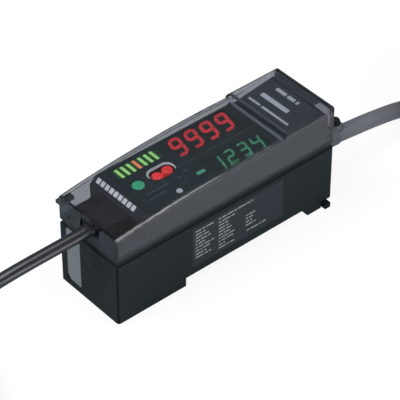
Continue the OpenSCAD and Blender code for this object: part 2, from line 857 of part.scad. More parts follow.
// Displays: a dark block, and the lit strokes on its face
function slanted(p) = [p[0] + p[1] * tan(lean), p[1]];
function corner_of(k, w, h, s) = [(k % 2 - 0.5) * (w - s), (1 - floor(k / 2)) * (h - s) / 2];
function end_of(i, side, w, h, s) = corner_of(stroke_ends[i][side], w, h, s);
function stroke_points(p, q, s) =
    let (u = unit(q - p), n = [-u[1], u[0]] * s / 2, c = 0.08)
    [p + u * c, p + u * (c + s / 2) + n, q - u * (c + s / 2) + n, q - u * c,
     q - u * (c + s / 2) - n, p + u * (c + s / 2) - n];

module digit(value, w, h, s) {
    linear_extrude(segment_t) for (i = [0 : 6])
        if (len(search("abcdefg"[i], lit_strokes[value])) > 0)
            polygon([
                for (p = stroke_points(end_of(i, 0, w, h, s), end_of(i, 1, w, h, s), s)) slanted(p)
            ]);
}

module red_display() {
    color([0.1, 0.09, 0.1]) translate([red_x, red_y, top_board_z]) linear_extrude(face_z - top_board_z)
        square([red_box_l, red_box_w], center = true);
}

module red_digits() {
    color([0.85, 0.2, 0.25]) for (i = [0 : 3])
        translate([red_x + (i - 1.5) * red_pitch, red_y, face_z]) digit(red_code[i], red_w, red_h, red_stroke);
}

module green_display() {
    color([0.08, 0.1, 0.1]) translate([green_x, green_y, top_board_z]) linear_extrude(face_z - top_board_z)
        square([green_box_l, green_box_w], center = true);
}

module green_digits() {
    color([0.35, 0.7, 0.5]) for (i = [0 : 3])
        translate([green_x + (i - 1.5) * green_pitch, green_y, face_z])
            digit(green_code[i], green_w, green_h, green_stroke);
}

// Boards
module display_board() {
    color([0.1, 0.35, 0.25]) difference() {
        block(top_board_x0, top_board_x1, -top_board_w / 2, top_board_w / 2, top_board_z - top_board_t,
              top_board_z);
        for (p = post_places)
            translate([p[0], p[1], top_board_z - 3]) cylinder(r = peg_r + fit_gap, h = 5);
    }
}

module key_switch(x, y) {
    translate([x, y, top_board_z]) {
        translate([-1.5, -1.5, 0]) cube([3, 3, 1.8]);
        cylinder(r = 0.7, h = switch_z - top_board_z);
    }
}

module key_switches() {
    color([0.55, 0.56, 0.58]) {
        key_switch(set_x, set_y);
        for (s = [-1, 1]) key_switch(rocker_x + s * (rocker_l / 2 - 1.5), rocker_y);
    }
}

module board_link() {
    // Plug and socket between the two boards
    low = top_board_z - top_board_t;
    color([0.15, 0.15, 0.16]) {
        block(link_x - link_l / 2, link_x + link_l / 2, -link_w / 2, link_w / 2, board_z, board_z + 8);
        block(link_x - link_l / 2, link_x + link_l / 2, -link_w / 2, link_w / 2, low - 3, low);
        for (i = [0 : 7])
            translate([link_x + (i - 3.5) * 2 - 0.3, -0.3, board_z + 7.5]) cube([0.6, 0.6, low - 10 - board_z]);
    }
}

module main_board() {
    color([0.1, 0.35, 0.25]) difference() {
        block(board_x0, board_x1, -board_w / 2, board_w / 2, board_z - board_t, board_z);
        at_board_screws() translate([0, 0, board_z - 5]) cylinder(r = screw_r + 0.2, h = 10);
    }
}

module board_screws() {
    color([0.75, 0.75, 0.78]) at_board_screws() difference() {
        union() {
            translate([0, 0, board_z]) cylinder(r = 1.7, h = 1.2);
            translate([0, 0, seat_h + floor_t + 0.4])
                cylinder(r = screw_r - 0.03, h = board_z - seat_h - floor_t);
        }
        for (a = [0, 90]) rotate(a) translate([-1, -0.2, board_z + 0.6]) cube([2, 0.4, 1]);
    }
}

module board_chips() {
    color([0.09, 0.09, 0.1]) for (c = chips)
        translate([board_x0 + c[0] - c[2] / 2, c[1] - c[3] / 2, board_z]) cube([c[2], c[3], c[4]]);
}

module capacitors() {
    color([0.2, 0.22, 0.3]) for (p = can_places)
        translate([board_x1 - p[0], p[1], board_z]) {
            cylinder(r = can_r, h = can_foot);
            cylinder(r = can_r - 0.2, h = 1.5 * can_foot);
            translate([0, 0, 1.5 * can_foot]) cylinder(r = can_r, h = can_h - 1.5 * can_foot);
        }
}

// Socket and plug of the sensor lead, in the bay under the cover
module head_socket() {
    color([0.85, 0.84, 0.8]) {
        difference() {
            block(bay_x - socket_l, bay_x, lead_y - plug_w / 2 - 0.5, lead_y + plug_w / 2 + 0.5, bay_floor,
                  panel_z - bay_drop - 0.1);
            block(bay_x - socket_l - 1, bay_x - 0.8, lead_y - nose_w / 2 - 0.1, lead_y + nose_w / 2 + 0.1,
                  lead_z - nose_h / 2 - 0.1, lead_z + nose_h / 2 + 0.1);
        }
    }
}

module head_plug() {
    color([0.13, 0.13, 0.14]) {
        block(plug_x0, plug_x0 + plug_l, lead_y - plug_w / 2, lead_y + plug_w / 2, lead_z - plug_h / 2,
              lead_z + plug_h / 2);
        block(plug_x0 + plug_l - 0.5, bay_x - 1, lead_y - nose_w / 2, lead_y + nose_w / 2, lead_z - nose_h / 2,
              lead_z + nose_h / 2);
        // Ridges to pull it by
        for (i = [0 : 2])
            block(plug_x0 + 0.6 + i * 1.2, plug_x0 + 1.2 + i * 1.2, lead_y - 3, lead_y + 3, lead_z,
                  lead_z + plug_h / 2 + 0.3);
    }
}

// Sensor lead, its hank, and the plug on its far end
module sensor_lead() {
    color([0.12, 0.12, 0.13]) tube(smooth_route(lead_points, 2), lead_w / 2, lead_d / 2, 8);
}

module lead_hank() {
    out = lead_hank_r + 1.5 * lead_w + 0.3;
    in = lead_hank_r - lead_w / 2;
    color([0.12, 0.12, 0.13]) translate([lead_hank_x, lead_hank_y, 0]) {
        linear_extrude(lead_hank_h) difference() {
            stadium(lead_hank_run + 2 * out, 2 * out);
            stadium(lead_hank_run + 2 * in, 2 * in);
        }
        // Last of the lead, on its way to the plug in the middle
        block(-lead_hank_run / 2 - in - 1, -lead_plug_l / 2, -lead_w / 2, lead_w / 2, lead_plug_z - lead_d / 2,
              lead_plug_z + lead_d / 2);
    }
}

module lead_connector() {
    color([0.14, 0.14, 0.15]) translate([lead_hank_x, lead_hank_y, lead_plug_z]) rotate([0, 90, 0]) {
        translate([0, 0, -lead_plug_l / 2]) cylinder(r1 = 2.6, r2 = 3.6, h = 3);
        translate([0, 0, -lead_plug_l / 2 + 3]) cylinder(r = 3.6, h = lead_plug_l / 2 - 3);
        translate([0, 0, -0.5]) cylinder(r = lead_plug_r, h = 8.5);
        difference() {
            translate([0, 0, 7.5]) cylinder(r = 3.8, h = lead_plug_l / 2 - 7.5);
            translate([0, 0, 9]) cylinder(r = 3, h = 7);
        }
        for (a = [45 : 90 : 315]) rotate(a) translate([1.6, 0, 8]) cylinder(r = 0.4, h = 5.5, $fn = 16);
    }
}

// Output cable with its boot, its hank, and the bare wires at its far end
module cable_boot() {
    hole_w = boot_w - 1;
    hole_h = boot_h - 1.4;
    color([0.1, 0.1, 0.1]) difference() {
        union() {
            // Neck through the case's wall, with a rim inside
            translate([x_end - case_wall - 1.3, 0, cable_z]) rotate([0, 90, 0])
                linear_extrude(case_wall + 2) rotate(90) stadium(hole_w - 0.1, hole_h - 0.1);
            translate([x_end - case_wall - 1.3, 0, cable_z]) rotate([0, 90, 0])
                linear_extrude(1.25) rotate(90) stadium(hole_w + 1.4, hole_h + 1.4);
            // Round collar outside, then the taper down to the cable
            difference() {
                translate([x_end, 0, cable_z]) rotate([0, 90 + boot_tilt, 0]) {
                    translate([0, 0, -1]) cylinder(r = boot_h / 2, h = 3.4);
                    translate([0, 0, 2.4]) cylinder(r1 = boot_h / 2, r2 = cable_d / 2 + 0.65, h = 1);
                    translate([0, 0, 3.4])
                        cylinder(r1 = cable_d / 2 + 0.65, r2 = cable_d / 2 + 0.35, h = boot_l - 3.4);
                }
                block(x_end - 5, x_end + 0.05, -9, 9, 0, case_h);
            }
        }
        translate([x_end, 0, cable_z]) rotate([0, 90 + boot_tilt, 0])
            translate([0, 0, -8]) cylinder(r = cable_d / 2 + 0.05, h = boot_l + 12);
    }
}

module output_cable() {
    color([0.2, 0.2, 0.21]) tube(smooth_route(cable_points, 2), cable_d / 2, cable_d / 2, 12);
}

module cable_hank() {
    in = cable_hank_r - cable_d / 2;
    out = cable_hank_r + 1.5 * cable_d;
    color([0.2, 0.2, 0.21]) translate([cable_hank_x, cable_hank_y, 0]) {
        linear_extrude(cable_layers * cable_d) difference() {
            stadium(cable_hank_run + 2 * out, 2 * out);
            stadium(cable_hank_run + 2 * in, 2 * in);
        }
        linear_extrude((cable_layers + 1) * cable_d) difference() {
            stadium(cable_hank_run + 2 * out, 2 * out);
            stadium(cable_hank_run + 2 * (in + cable_d), 2 * (in + cable_d));
        }
    }
}

module wire_ends() {
    // They lie on the inner turns, beside the last outer one
    y = cable_hank_y - cable_hank_r;
    z = cable_layers * cable_d + wire_r + 0.02;
    color([0.5, 0.4, 0.3]) for (i = [0 : 3])
        translate([cable_hank_x - 5, y + (i - 1.5) * (2 * wire_r + 0.1), z]) rotate([0, 90, 0]) {
            cylinder(r = wire_r, h = wire_l - strip_l, $fn = 24);
            cylinder(r = wire_r / 2, h = wire_l, $fn = 24);
        }
}

// The pieces
lower_case();
upper_frame();
front_panel();
label_plate();
side_label();
end_plate();
dust_cover();
rail_latch();
latch_spring();
set_button();
rocker_key();
rocker_collar();
green_bar_lamps();
orange_bar_lamp();
small_lamp();
panel_stud();
red_display();
red_digits();
green_display();
green_digits();
display_board();
key_switches();
board_link();
main_board();
board_screws();
board_chips();
capacitors();
head_socket();
head_plug();
sensor_lead();
lead_hank();
lead_connector();
cable_boot();
output_cable();
cable_hank();
wire_ends();
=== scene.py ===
# %% [markdown]
# # A laser sensor amplifier, dressed for its picture
# The real thing is a slim electronic unit that clips on a rail in a control cabinet. Its shape
# comes ready made from the CAD model, with every piece in its true place, so this lesson adds only
# what the CAD leaves plain: the camera and light, the soft cords, the printed marks and the finishes.

# %% Load the model as a fixed frame
import bpy
import json
import math
import numpy as np
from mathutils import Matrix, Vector

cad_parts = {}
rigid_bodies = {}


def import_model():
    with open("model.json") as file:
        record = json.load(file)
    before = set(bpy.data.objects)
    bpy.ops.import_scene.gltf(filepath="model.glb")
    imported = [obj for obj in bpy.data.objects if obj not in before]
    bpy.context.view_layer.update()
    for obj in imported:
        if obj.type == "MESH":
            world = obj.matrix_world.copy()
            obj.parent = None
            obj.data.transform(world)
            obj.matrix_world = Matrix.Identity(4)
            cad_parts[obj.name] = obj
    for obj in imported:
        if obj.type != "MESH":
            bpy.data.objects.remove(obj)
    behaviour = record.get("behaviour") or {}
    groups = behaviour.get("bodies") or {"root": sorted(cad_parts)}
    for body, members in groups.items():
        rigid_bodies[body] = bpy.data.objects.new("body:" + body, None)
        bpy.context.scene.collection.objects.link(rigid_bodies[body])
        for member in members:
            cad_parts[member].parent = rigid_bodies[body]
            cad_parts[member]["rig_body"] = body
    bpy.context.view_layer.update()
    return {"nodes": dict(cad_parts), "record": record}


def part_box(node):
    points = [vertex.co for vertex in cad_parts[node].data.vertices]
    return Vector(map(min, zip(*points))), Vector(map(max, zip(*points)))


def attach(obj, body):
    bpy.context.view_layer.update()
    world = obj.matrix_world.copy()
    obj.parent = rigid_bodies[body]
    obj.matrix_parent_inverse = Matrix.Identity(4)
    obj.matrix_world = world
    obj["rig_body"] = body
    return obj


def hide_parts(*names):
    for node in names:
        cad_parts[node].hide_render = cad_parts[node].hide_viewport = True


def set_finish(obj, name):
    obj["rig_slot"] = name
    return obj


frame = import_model()
MM = 0.001
BODY = "case"

# %% [markdown]
# ## The camera
# The photograph looks down on the unit at about 42 degrees from its front left corner, through a long
# lens, so parallel edges stay nearly parallel. A camera could be placed by hand, but here its place
# and the point it looks at were worked out from the corners of the case, which are known in
# millimetres, so the render can be laid over the photograph.

# %% Camera at the photograph's angle
camera_place = Vector((-0.33718, -0.39437, 0.46164))
camera_aim = Vector((0.000386, 0.0, 0.01579))
camera = bpy.data.objects.new("camera", bpy.data.cameras.new("camera"))
bpy.context.scene.collection.objects.link(camera)
camera.location = camera_place
camera.rotation_mode = "QUATERNION"
camera.rotation_quaternion = (camera_aim - camera_place).to_track_quat("-Z", "Y")
camera.data.sensor_width = 36.0
camera.data.lens = 200.05
camera.data.clip_start = 0.01
bpy.context.scene.camera = camera
print("camera distance in mm:", round((camera_aim - camera_place).length / MM, 1))

# %% [markdown]
# ## A profile carried along a path
# Both cords, the straps round them and the bare wires are one outline pushed along a line, the way a
# cable is really extruded. A Blender curve with a bevel can do this for a round cord, but the sensor
# lead is a twin, two wires side by side, and its flat side has to stay level. So the sweep is written
# out with numpy: at each point of the path the outline is laid across the direction of travel.

# %% Sweep an outline along a path
def rows_of_unit(v):
    """Each row divided by its length."""
    return v / np.linalg.norm(v, axis=1, keepdims=True)


def across_path(path, level=(0.0, 0.0, 1.0)):
    """Forward, side and up directions at each point: forward is the central difference of the points,
    side is forward crossed with the level direction, and up is side crossed with forward."""
    forward = rows_of_unit(np.gradient(path, axis=0))
    side = rows_of_unit(np.cross(forward, np.asarray(level)))
    return forward, side, np.cross(side, forward)


def new_piece(name, points, faces, smooth=True):
    """A mesh object from points in millimetres, with its place in the mesh and its origin at zero."""
    mesh = bpy.data.meshes.new(name)
    mesh.from_pydata((np.asarray(points) * MM).tolist(), [], [tuple(f) for f in faces])
    mesh.polygons.foreach_set("use_smooth", np.full(len(mesh.polygons), smooth))
    mesh.update()
    piece = bpy.data.objects.new(name, mesh)
    bpy.context.scene.collection.objects.link(piece)
    return piece


def grid_faces(rows, columns, closed_rows=False):
    """Four-cornered faces of a grid whose columns close on themselves, row after row, wound outwards."""
    last = rows if closed_rows else rows - 1
    r, c = np.meshgrid(np.arange(last), np.arange(columns), indexing="ij")
    here, over = r * columns, ((r + 1) % rows) * columns
    beside = (c + 1) % columns
    return np.stack([here + c, here + beside, over + beside, over + c], -1).reshape(-1, 4)


def sweep(name, path, outline, closed=False, scale=None, smooth=True):
    """Point = path(i) + scale(i) * (outline_x(j) * side(i) + outline_y(j) * up(i)), for every i and j.
    An open sweep gets a flat cap at each end."""
    forward, side, up = across_path(path) if not closed else around_loop(path)
    size = np.ones(len(path)) if scale is None else np.asarray(scale, float)
    flat = outline[None, :, :] * size[:, None, None]
    points = path[:, None, :] + flat[..., :1] * side[:, None, :] + flat[..., 1:] * up[:, None, :]
    n, m = len(path), len(outline)
    faces = grid_faces(n, m, closed).tolist()
    if not closed:
        faces += [list(range(m))[::-1], [(n - 1) * m + j for j in range(m)]]
    return new_piece(name, points.reshape(-1, 3), faces, smooth)


def around_loop(path):
    """As across_path, for a closed loop in a plane square to X: the side direction is X itself."""
    forward = rows_of_unit(np.roll(path, -1, axis=0) - np.roll(path, 1, axis=0))
    side = np.tile([1.0, 0.0, 0.0], (len(path), 1))
    return forward, side, np.cross(side, forward)


def circle(radius, count):
    """Points at equal steps round a circle: radius times (cos a, sin a)."""
    a = np.arange(count) * 2 * np.pi / count
    return radius * np.stack([np.cos(a), np.sin(a)], 1)


def path_length(path):
    """Sum of the distances from each point to the next."""
    return float(np.linalg.norm(np.diff(path, axis=0), axis=1).sum())


# %% [markdown]
# ## A smooth line through listed points
# The free stretch of each cord goes through listed points, the same ones as in the CAD model: straight out
# of the case, then down under its own weight. A Catmull-Rom curve passes through every point with no corner,
# and is simple to write down.

# %% Smooth route through points
def smooth_route(points, steps):
    """Between points B and C of A, B, C, D, at share t: half of 2B + (C - A)t + (2A - 5B + 4C - D)t^2
    + (3B - A - 3C + D)t^3. The two end points are carried on in a straight line."""
    p = np.asarray(points, float)
    p = np.vstack([2 * p[0] - p[1], p, 2 * p[-1] - p[-2]])
    a, b, c, d = p[:-3, None], p[1:-2, None], p[2:-1, None], p[3:, None]
    t = (np.arange(steps) / steps)[None, :, None]
    curve = 0.5 * (2 * b + (c - a) * t
                   + (2 * a - 5 * b + 4 * c - d) * t**2
                   + (3 * b - a - 3 * c + d) * t**3)
    return np.vstack([curve.reshape(-1, 3), p[-2]])


# %% [markdown]
# ## A hank wound turn by turn
# The length that the photograph doesn't show is folded into a hank, as such leads are supplied: long
# flat turns round two ends. Each turn is a straight run, a half circle, a run back and a half circle.
# A winder moves over to the next column or up to the next layer while passing one place, so the radius
# and the height change there in short eased steps, and turns never pass through each other.

# %% Turns of a hank
def eased(share):
    """0 before 0, 1 after 1, and half of 1 minus cos(pi * share) between."""
    return 0.5 - 0.5 * np.cos(np.pi * np.clip(share, 0.0, 1.0))


def stepped(along, start, steps):
    """start, plus each step's rise times its eased share of the way through (first, length, rise)."""
    return start + sum(rise * eased((along - first) / length) for first, length, rise in steps)


def hank_turns(x_from, x_to, y_mid, along, radius, height):
    """Points of a flat winding. Each turn takes 4 units of `along`: out along the far side, a half
    circle, back along the near side, a half circle. A point is the line between the two centres,
    plus the radius times the unit direction outwards from it."""
    phase = along % 4.0
    way = np.sign(x_to - x_from)
    share = np.clip(phase, 0, 1) - np.clip(phase - 2, 0, 1)
    turned = np.pi * (np.clip(phase - 1, 0, 1) + np.clip(phase - 3, 0, 1))
    x = x_from + (x_to - x_from) * share + way * radius * np.sin(turned)
    return np.stack([x, y_mid + radius * np.cos(turned), height], 1)


def turn_places(first, last, per_turn=56):
    """Places along the winding from first to last, at equal steps, per_turn of them for each turn."""
    return np.linspace(first, last, int(round((last - first) / 4 * per_turn)) + 1)


# %% [markdown]
# ## The sensor lead
# The lead to the sensor head is a twin: two thin black wires joined side by side. It leaves the plug in
# the case's left end, falls to the bench and is wound from the top of its hank down the outside, then
# up the inside, and its free end drops to the connector in the middle. It is 2 m, as such leads are.

# %% Sensor lead
LEAD_WIRE = 2.3
LEAD_WIDE = 4.6
LEAD_LAYER = 2.4
LEAD_HANK_X = (-106.0, -152.0)
LEAD_HANK_Y = -5.0
LEAD_FIRST_RADIUS = 12.0
LEAD_TOP = 15.6
lead_free = [(-41.6, -1.4, 29.6), (-49.6, -1.4, 29.6), (-60, -1.4, 29.5), (-70, -1.4, 29.3),
             (-79, -1.3, 28.6), (-88, -0.8, 26.6), (-97, 0.4, 23.2), (-105, 2, 19.6),
             (-113, 4.4, 16.8), (-122, 6.4, 15.7), (-134, 7, 15.6), (-148, 7, 15.6)]
lead_end = [(-112, 5.8, 13.3), (-119, 3.6, 12.8), (-128, 2.2, 11.2), (-138, 2.0, 9.4), (-147, 2.2, 7.6),
            (-153, 0.9, 6.0), (-155, -2.2, 4.9), (-152, -4.6, 4.5), (-147, -5, 4.5), (-143, -5, 4.5)]


def twin_outline(wire, wide, lobe_points=12):
    """Two round lobes side by side. Each is an arc of 326 degrees, wire wide, open towards the other."""
    a = np.radians(np.linspace(-163, 163, lobe_points))
    lobe = 0.5 * wire * np.stack([np.cos(a), np.sin(a)], 1)
    shift = np.array([(wide - wire) / 2, 0.0])
    return np.vstack([lobe + shift, -lobe - shift])


down = -LEAD_LAYER
up = LEAD_LAYER
over = LEAD_WIDE + 0.1
lead_along = turn_places(1.1, 40.0)
lead_radius = stepped(lead_along, LEAD_FIRST_RADIUS, [(1.0, 0.6, over), (16.8, 0.5, -over)])
lead_height = stepped(
    lead_along, LEAD_TOP,
    [(1.45, 0.75, 3 * down)] + [(place, 0.5, down) for place in (5.0, 9.0, 13.0)]
    + [(place, 0.5, up) for place in (20.6, 24.6, 28.6, 32.6, 36.6)])
lead_wound = hank_turns(*LEAD_HANK_X, LEAD_HANK_Y, lead_along, lead_radius, lead_height)
lead_path = np.vstack([smooth_route(lead_free, 4), lead_wound,
                       smooth_route([lead_wound[-1], *lead_end], 4)[1:]])
sensor_lead = sweep("sensor_lead_twin", lead_path, twin_outline(LEAD_WIRE, LEAD_WIDE))
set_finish(sensor_lead, "lead_jacket")
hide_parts("sensor_lead", "lead_hank")
print("sensor lead in mm:", round(path_length(lead_path)), "points:", len(lead_path))

# %% [markdown]
# ## The output cable
# The thicker round cable leaves the right end through its boot and is wound in layers, out and in,
# from the bench up. It ends in four bare wires, ready for a terminal block, lying on the turns.

# %% Output cable
CABLE = 5.5
CABLE_HANK_X = (113.0, 157.0)
CABLE_HANK_Y = -12.0
CABLE_FIRST_RADIUS = 21.8
cable_free = [(37.54, 0, 13.71), (45.49, 0, 12.76), (56.41, 0, 11.46), (64, 0, 10.5), (72, 0, 9.5),
              (80, 0, 8.2), (84.6, 0.1, 7.2), (88.6, 0.3, 6), (92.6, 1.2, 4.7), (97, 3.3, 3.5),
              (102, 6.3, 2.9), (107, 8.8, 2.75)]
cable_along = turn_places(0.0, 38.0)
moves = [4.0 * turn - 0.15 * (turn - 1) for turn in range(1, 10)]
shift = CABLE * np.array([-1, 0, 1, 0, -1, 0, 1, 0, -1])
lift = CABLE * np.array([0, 1, 0, 1, 0, 1, 0, 1, 0])
cable_radius = stepped(cable_along, CABLE_FIRST_RADIUS, [(m, 0.5, s) for m, s in zip(moves, shift)])
cable_height = stepped(cable_along, CABLE / 2, [(m, 0.5, s) for m, s in zip(moves, lift)])
cable_wound = hank_turns(*CABLE_HANK_X, CABLE_HANK_Y, cable_along, cable_radius, cable_height)
cable_path = np.vstack([smooth_route([*cable_free, cable_wound[0]], 4)[:-1], cable_wound])
output_cable = sweep("output_cable_round", cable_path, circle(CABLE / 2, 20))
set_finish(output_cable, "cable_jacket")
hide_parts("output_cable", "cable_hank")
print("output cable in mm:", round(path_length(cable_path)), "points:", len(cable_path))

# %% [markdown]
# ## The bare wires at the cable's end
# Four thin insulated wires come out of the cut jacket, spread a little and lie down on the hank. Each
# ends in a few millimetres of bright tinned strands. They are four small sweeps in one piece.

# %% Wire ends
def joined(name, parts):
    """One mesh out of several pieces, with a material index per part."""
    points = []
    faces = []
    kinds = []
    for number, part in enumerate(parts):
        start = len(points)
        points += [tuple(v.co / MM) for v in part.data.vertices]
        faces += [tuple(start + i for i in f.vertices) for f in part.data.polygons]
        kinds += [number] * len(part.data.polygons)
        bpy.data.objects.remove(part)
    return new_piece(name, points, faces), np.array(kinds)


WIRE = 1.2
WIRES = 4
TIP_POINTS = 14
wire_parts = []
end_x, end_y, end_z = cable_path[-1]
for i in range(WIRES):
    spread = i - (WIRES - 1) / 2
    jacket_y = spread * 0.9
    jacket_z = 0.5 if i % 2 else -0.6
    run = smooth_route([(end_x + 2, end_y + jacket_y * 0.7, end_z + jacket_z),
                        (end_x - 2, end_y + jacket_y, end_z + jacket_z),
                        (end_x - 7, end_y + spread * 1.3, 23.6), (end_x - 13, end_y + spread * 1.7, 22.7),
                        (end_x - 20 + i, end_y + spread * 2.2, 22.64),
                        (end_x - 27 + i * 0.6, end_y + spread * 2.9, 22.62)], 6)
    ahead = (run[-1] - run[-3]) / np.linalg.norm(run[-1] - run[-3])
    tip = run[-1] + ahead * np.linspace(-0.5, 5.5, TIP_POINTS)[:, None]
    twist = 1 + 0.1 * np.cos(np.arange(TIP_POINTS) * 2.6)
    wire_parts += [sweep("insulation", run, circle(WIRE / 2, 14)),
                   sweep("strands", tip, circle(WIRE / 4, 12), scale=twist)]
wires, wire_kinds = joined("cable_wire_ends", wire_parts)
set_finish(wires, "wire_insulation")
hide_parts("wire_ends")
print("wires:", WIRES, "faces:", len(wire_kinds))

# %% [markdown]
# ## Straps round the hanks
# A hank is held by a soft hook-and-loop strap at each side, or it springs open. A strap is a thin flat
# outline carried round a rounded rectangle, with its tail laid over itself.

# %% Straps
STRAP_WIDE = 7.0
STRAP_THICK = 0.7


def round_box(y_low, y_high, z_low, z_high, corner, per_corner=9):
    """A rectangle in the YZ plane with quarter circles for corners, as points in order round it."""
    a = np.linspace(0, np.pi / 2, per_corner)
    turns = np.concatenate([a + k * np.pi / 2 for k in range(4)])
    y_mid = np.repeat([y_high - corner, y_low + corner, y_low + corner, y_high - corner], per_corner)
    z_mid = np.repeat([z_high - corner, z_high - corner, z_low + corner, z_low + corner], per_corner)
    return np.stack([y_mid + corner * np.cos(turns), z_mid + corner * np.sin(turns)], 1)


def strap(name, x_mid, y_low, y_high, top):
    """A band round the strands between y_low and y_high, up to top, and its tail, which lies over the
    band's top and far side. The band's own outline is a flat strip with its edges rounded off."""
    w = STRAP_WIDE / 2
    t = STRAP_THICK / 2
    strip = np.array([(-w, -t * 0.5), (-w + 0.3, -t), (w - 0.3, -t), (w, -t * 0.5),
                      (w, t * 0.5), (w - 0.3, t), (-w + 0.3, t), (-w, t * 0.5)])
    loop = round_box(y_low - t, y_high + t, t, top + t, 2.6)
    band = sweep("band", np.insert(loop, 0, x_mid, axis=1), strip, closed=True)
    wider = round_box(y_low - 3 * t, y_high + 3 * t, t, top + 3 * t, 3.2)[2:14] + (0, 0.02)
    tail = sweep("tail", np.insert(wider, 0, x_mid + 0.4, axis=1)[::-1], strip[:, ::-1] @ [[0, 1], [1, 0]])
    whole, parts = joined(name, [band, tail])
    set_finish(whole, "boot_rubber")
    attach(whole, BODY)
    return whole


straps = [strap("lead_strap_far", -129.0, 4.7, 14.2, 16.6),
          strap("lead_strap_near", -129.0, -23.9, -14.6, 14.4),
          strap("cable_strap_far", 135.0, 1.4, 12.6, 27.4),
          strap("cable_strap_near", 142.0, -36.5, -25.4, 27.4)]
print("straps:", [piece.name for piece in straps])

for piece in (sensor_lead, output_cable, wires):
    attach(piece, BODY)

# %% [markdown]
# ## Writing shaders as sums
# A finish is a small network of nodes. Wiring it by hand is slow to read, so one class wraps a
# node's output and turns +, - and * into Math nodes, and one method adds any other node.

# %% Shader helper
class Wire:
    """One output of a finish's network. Arithmetic on it adds a Math node and gives that node's output."""

    def __init__(self, finish, socket):
        self.finish = finish
        self.socket = socket

    def _math(self, operation, first, second):
        return self.finish.node("ShaderNodeMath", {"operation": operation}, {0: first, 1: second})

    def __add__(self, other):
        return self._math("ADD", self, other)

    def __sub__(self, other):
        return self._math("SUBTRACT", self, other)

    def __rsub__(self, other):
        return self._math("SUBTRACT", other, self)

    def __mul__(self, other):
        return self._math("MULTIPLY", self, other)

    __radd__ = __add__
    __rmul__ = __mul__


# Where the painted shade on the near left upright edge begins, in metres
LEFT_EDGE_X = -0.0430
NEAR_EDGE_Y = -0.01335
RAYS = {"camera": 0, "shadow": 1, "glossy": 3, "through": 6}


class Finish:
    """A material being made, and the surface it ends in."""

    def __init__(self, name):
        self.material = bpy.data.materials.new(name)
        self.material.use_nodes = True
        self.tree = self.material.node_tree
        self.tree.nodes.clear()
        self.end = self.tree.nodes.new("ShaderNodeOutputMaterial")

    def node(self, kind, settings=None, sockets=None, out=0):
        """Adds a node. Its settings are set first, then its sockets take numbers, colours or wires."""
        made = self.tree.nodes.new(kind)
        for name, value in (settings or {}).items():
            if name == "stops":
                while len(made.color_ramp.elements) < len(value):
                    made.color_ramp.elements.new(0.5)
                for element, (place, tone) in zip(made.color_ramp.elements, value):
                    element.position = place
                    element.color = (*tone, 1.0)
            else:
                setattr(made, name, value)
        for key, value in (sockets or {}).items():
            if isinstance(value, Wire):
                self.tree.links.new(value.socket, made.inputs[key])
            else:
                made.inputs[key].default_value = value
        return Wire(self, made.outputs[out])

    def place(self):
        """Where a point is, in metres, in the object's own space."""
        return self.node("ShaderNodeTexCoord", out=3)

    def axis(self, number):
        """X, Y or Z of a point in metres, for the number 0, 1 or 2."""
        return self.node("ShaderNodeSeparateXYZ", None, {0: self.place()}, out=number)

    def above(self, value, limit):
        """1 where the value is greater than the limit, and 0 elsewhere."""
        return self.node("ShaderNodeMath", {"operation": "GREATER_THAN"}, {0: value, 1: limit})

    def below(self, value, limit):
        """1 where the value is less than the limit, and 0 elsewhere."""
        return self.node("ShaderNodeMath", {"operation": "LESS_THAN"}, {0: value, 1: limit})

    def ray(self, kind):
        """1 for rays of one kind, and 0 for all others."""
        return self.node("ShaderNodeLightPath", out=RAYS[kind])

    def noise(self, per_metre, detail=2.0, stretch=None):
        """Soft random pattern from 0 to 1, with this many lumps to the metre."""
        where = self.place()
        if stretch:
            where = self.node("ShaderNodeMapping", None, {"Vector": where, "Scale": stretch})
        return self.node("ShaderNodeTexNoise", None, {"Vector": where, "Scale": per_metre, "Detail": detail})

    def painted_shade_left_edge(self):
        """1 on the rounded upright edge at the case's near left corner, where painted shade goes, and 0
        elsewhere.
        """
        return self.below(self.axis(0), LEFT_EDGE_X) * self.below(self.axis(1), NEAR_EDGE_Y)

    def tint(self, first, second, share):
        """A colour between two, by share from 0 to 1."""
        return self.node("ShaderNodeMix", {"data_type": "RGBA"}, {0: share, 6: first, 7: second}, out=2)

    def surface(self, sockets):
        """Ends the material in a Principled surface with these sockets."""
        made = self.node("ShaderNodeBsdfPrincipled", None, sockets)
        self.tree.links.new(made.socket, self.end.inputs["Surface"])
        return made

    def bump(self, height, depth, strength=1.0):
        """A Bump node for a height from 0 to 1 that is depth metres deep."""
        return self.node("ShaderNodeBump", None, {"Height": height, "Distance": depth, "Strength": strength})


def rgb(red, green, blue):
    """A colour read off a screen as 0 to 255, turned to the linear light that shaders work in, by the
    sRGB rule: below 0.04 divide by 12.92, and above it ((v + 0.055) / 1.055) to the power 2.4."""
    v = np.array([red, green, blue]) / 255.0
    linear = np.where(v <= 0.04045, v / 12.92, ((v + 0.055) / 1.055) ** 2.4)
    return (*linear.tolist(), 1.0)


# %% [markdown]
# ## Moulded plastics
# The case, frame, panel and keys are injection moulded. A mould's surface is spark eroded, so the
# plastic has a very fine grain, and it varies slightly in gloss and shade as it is handled. One
# recipe serves all of them, with its own colour, grain and gloss for each.

# %% Moulded plastic
finishes = {}


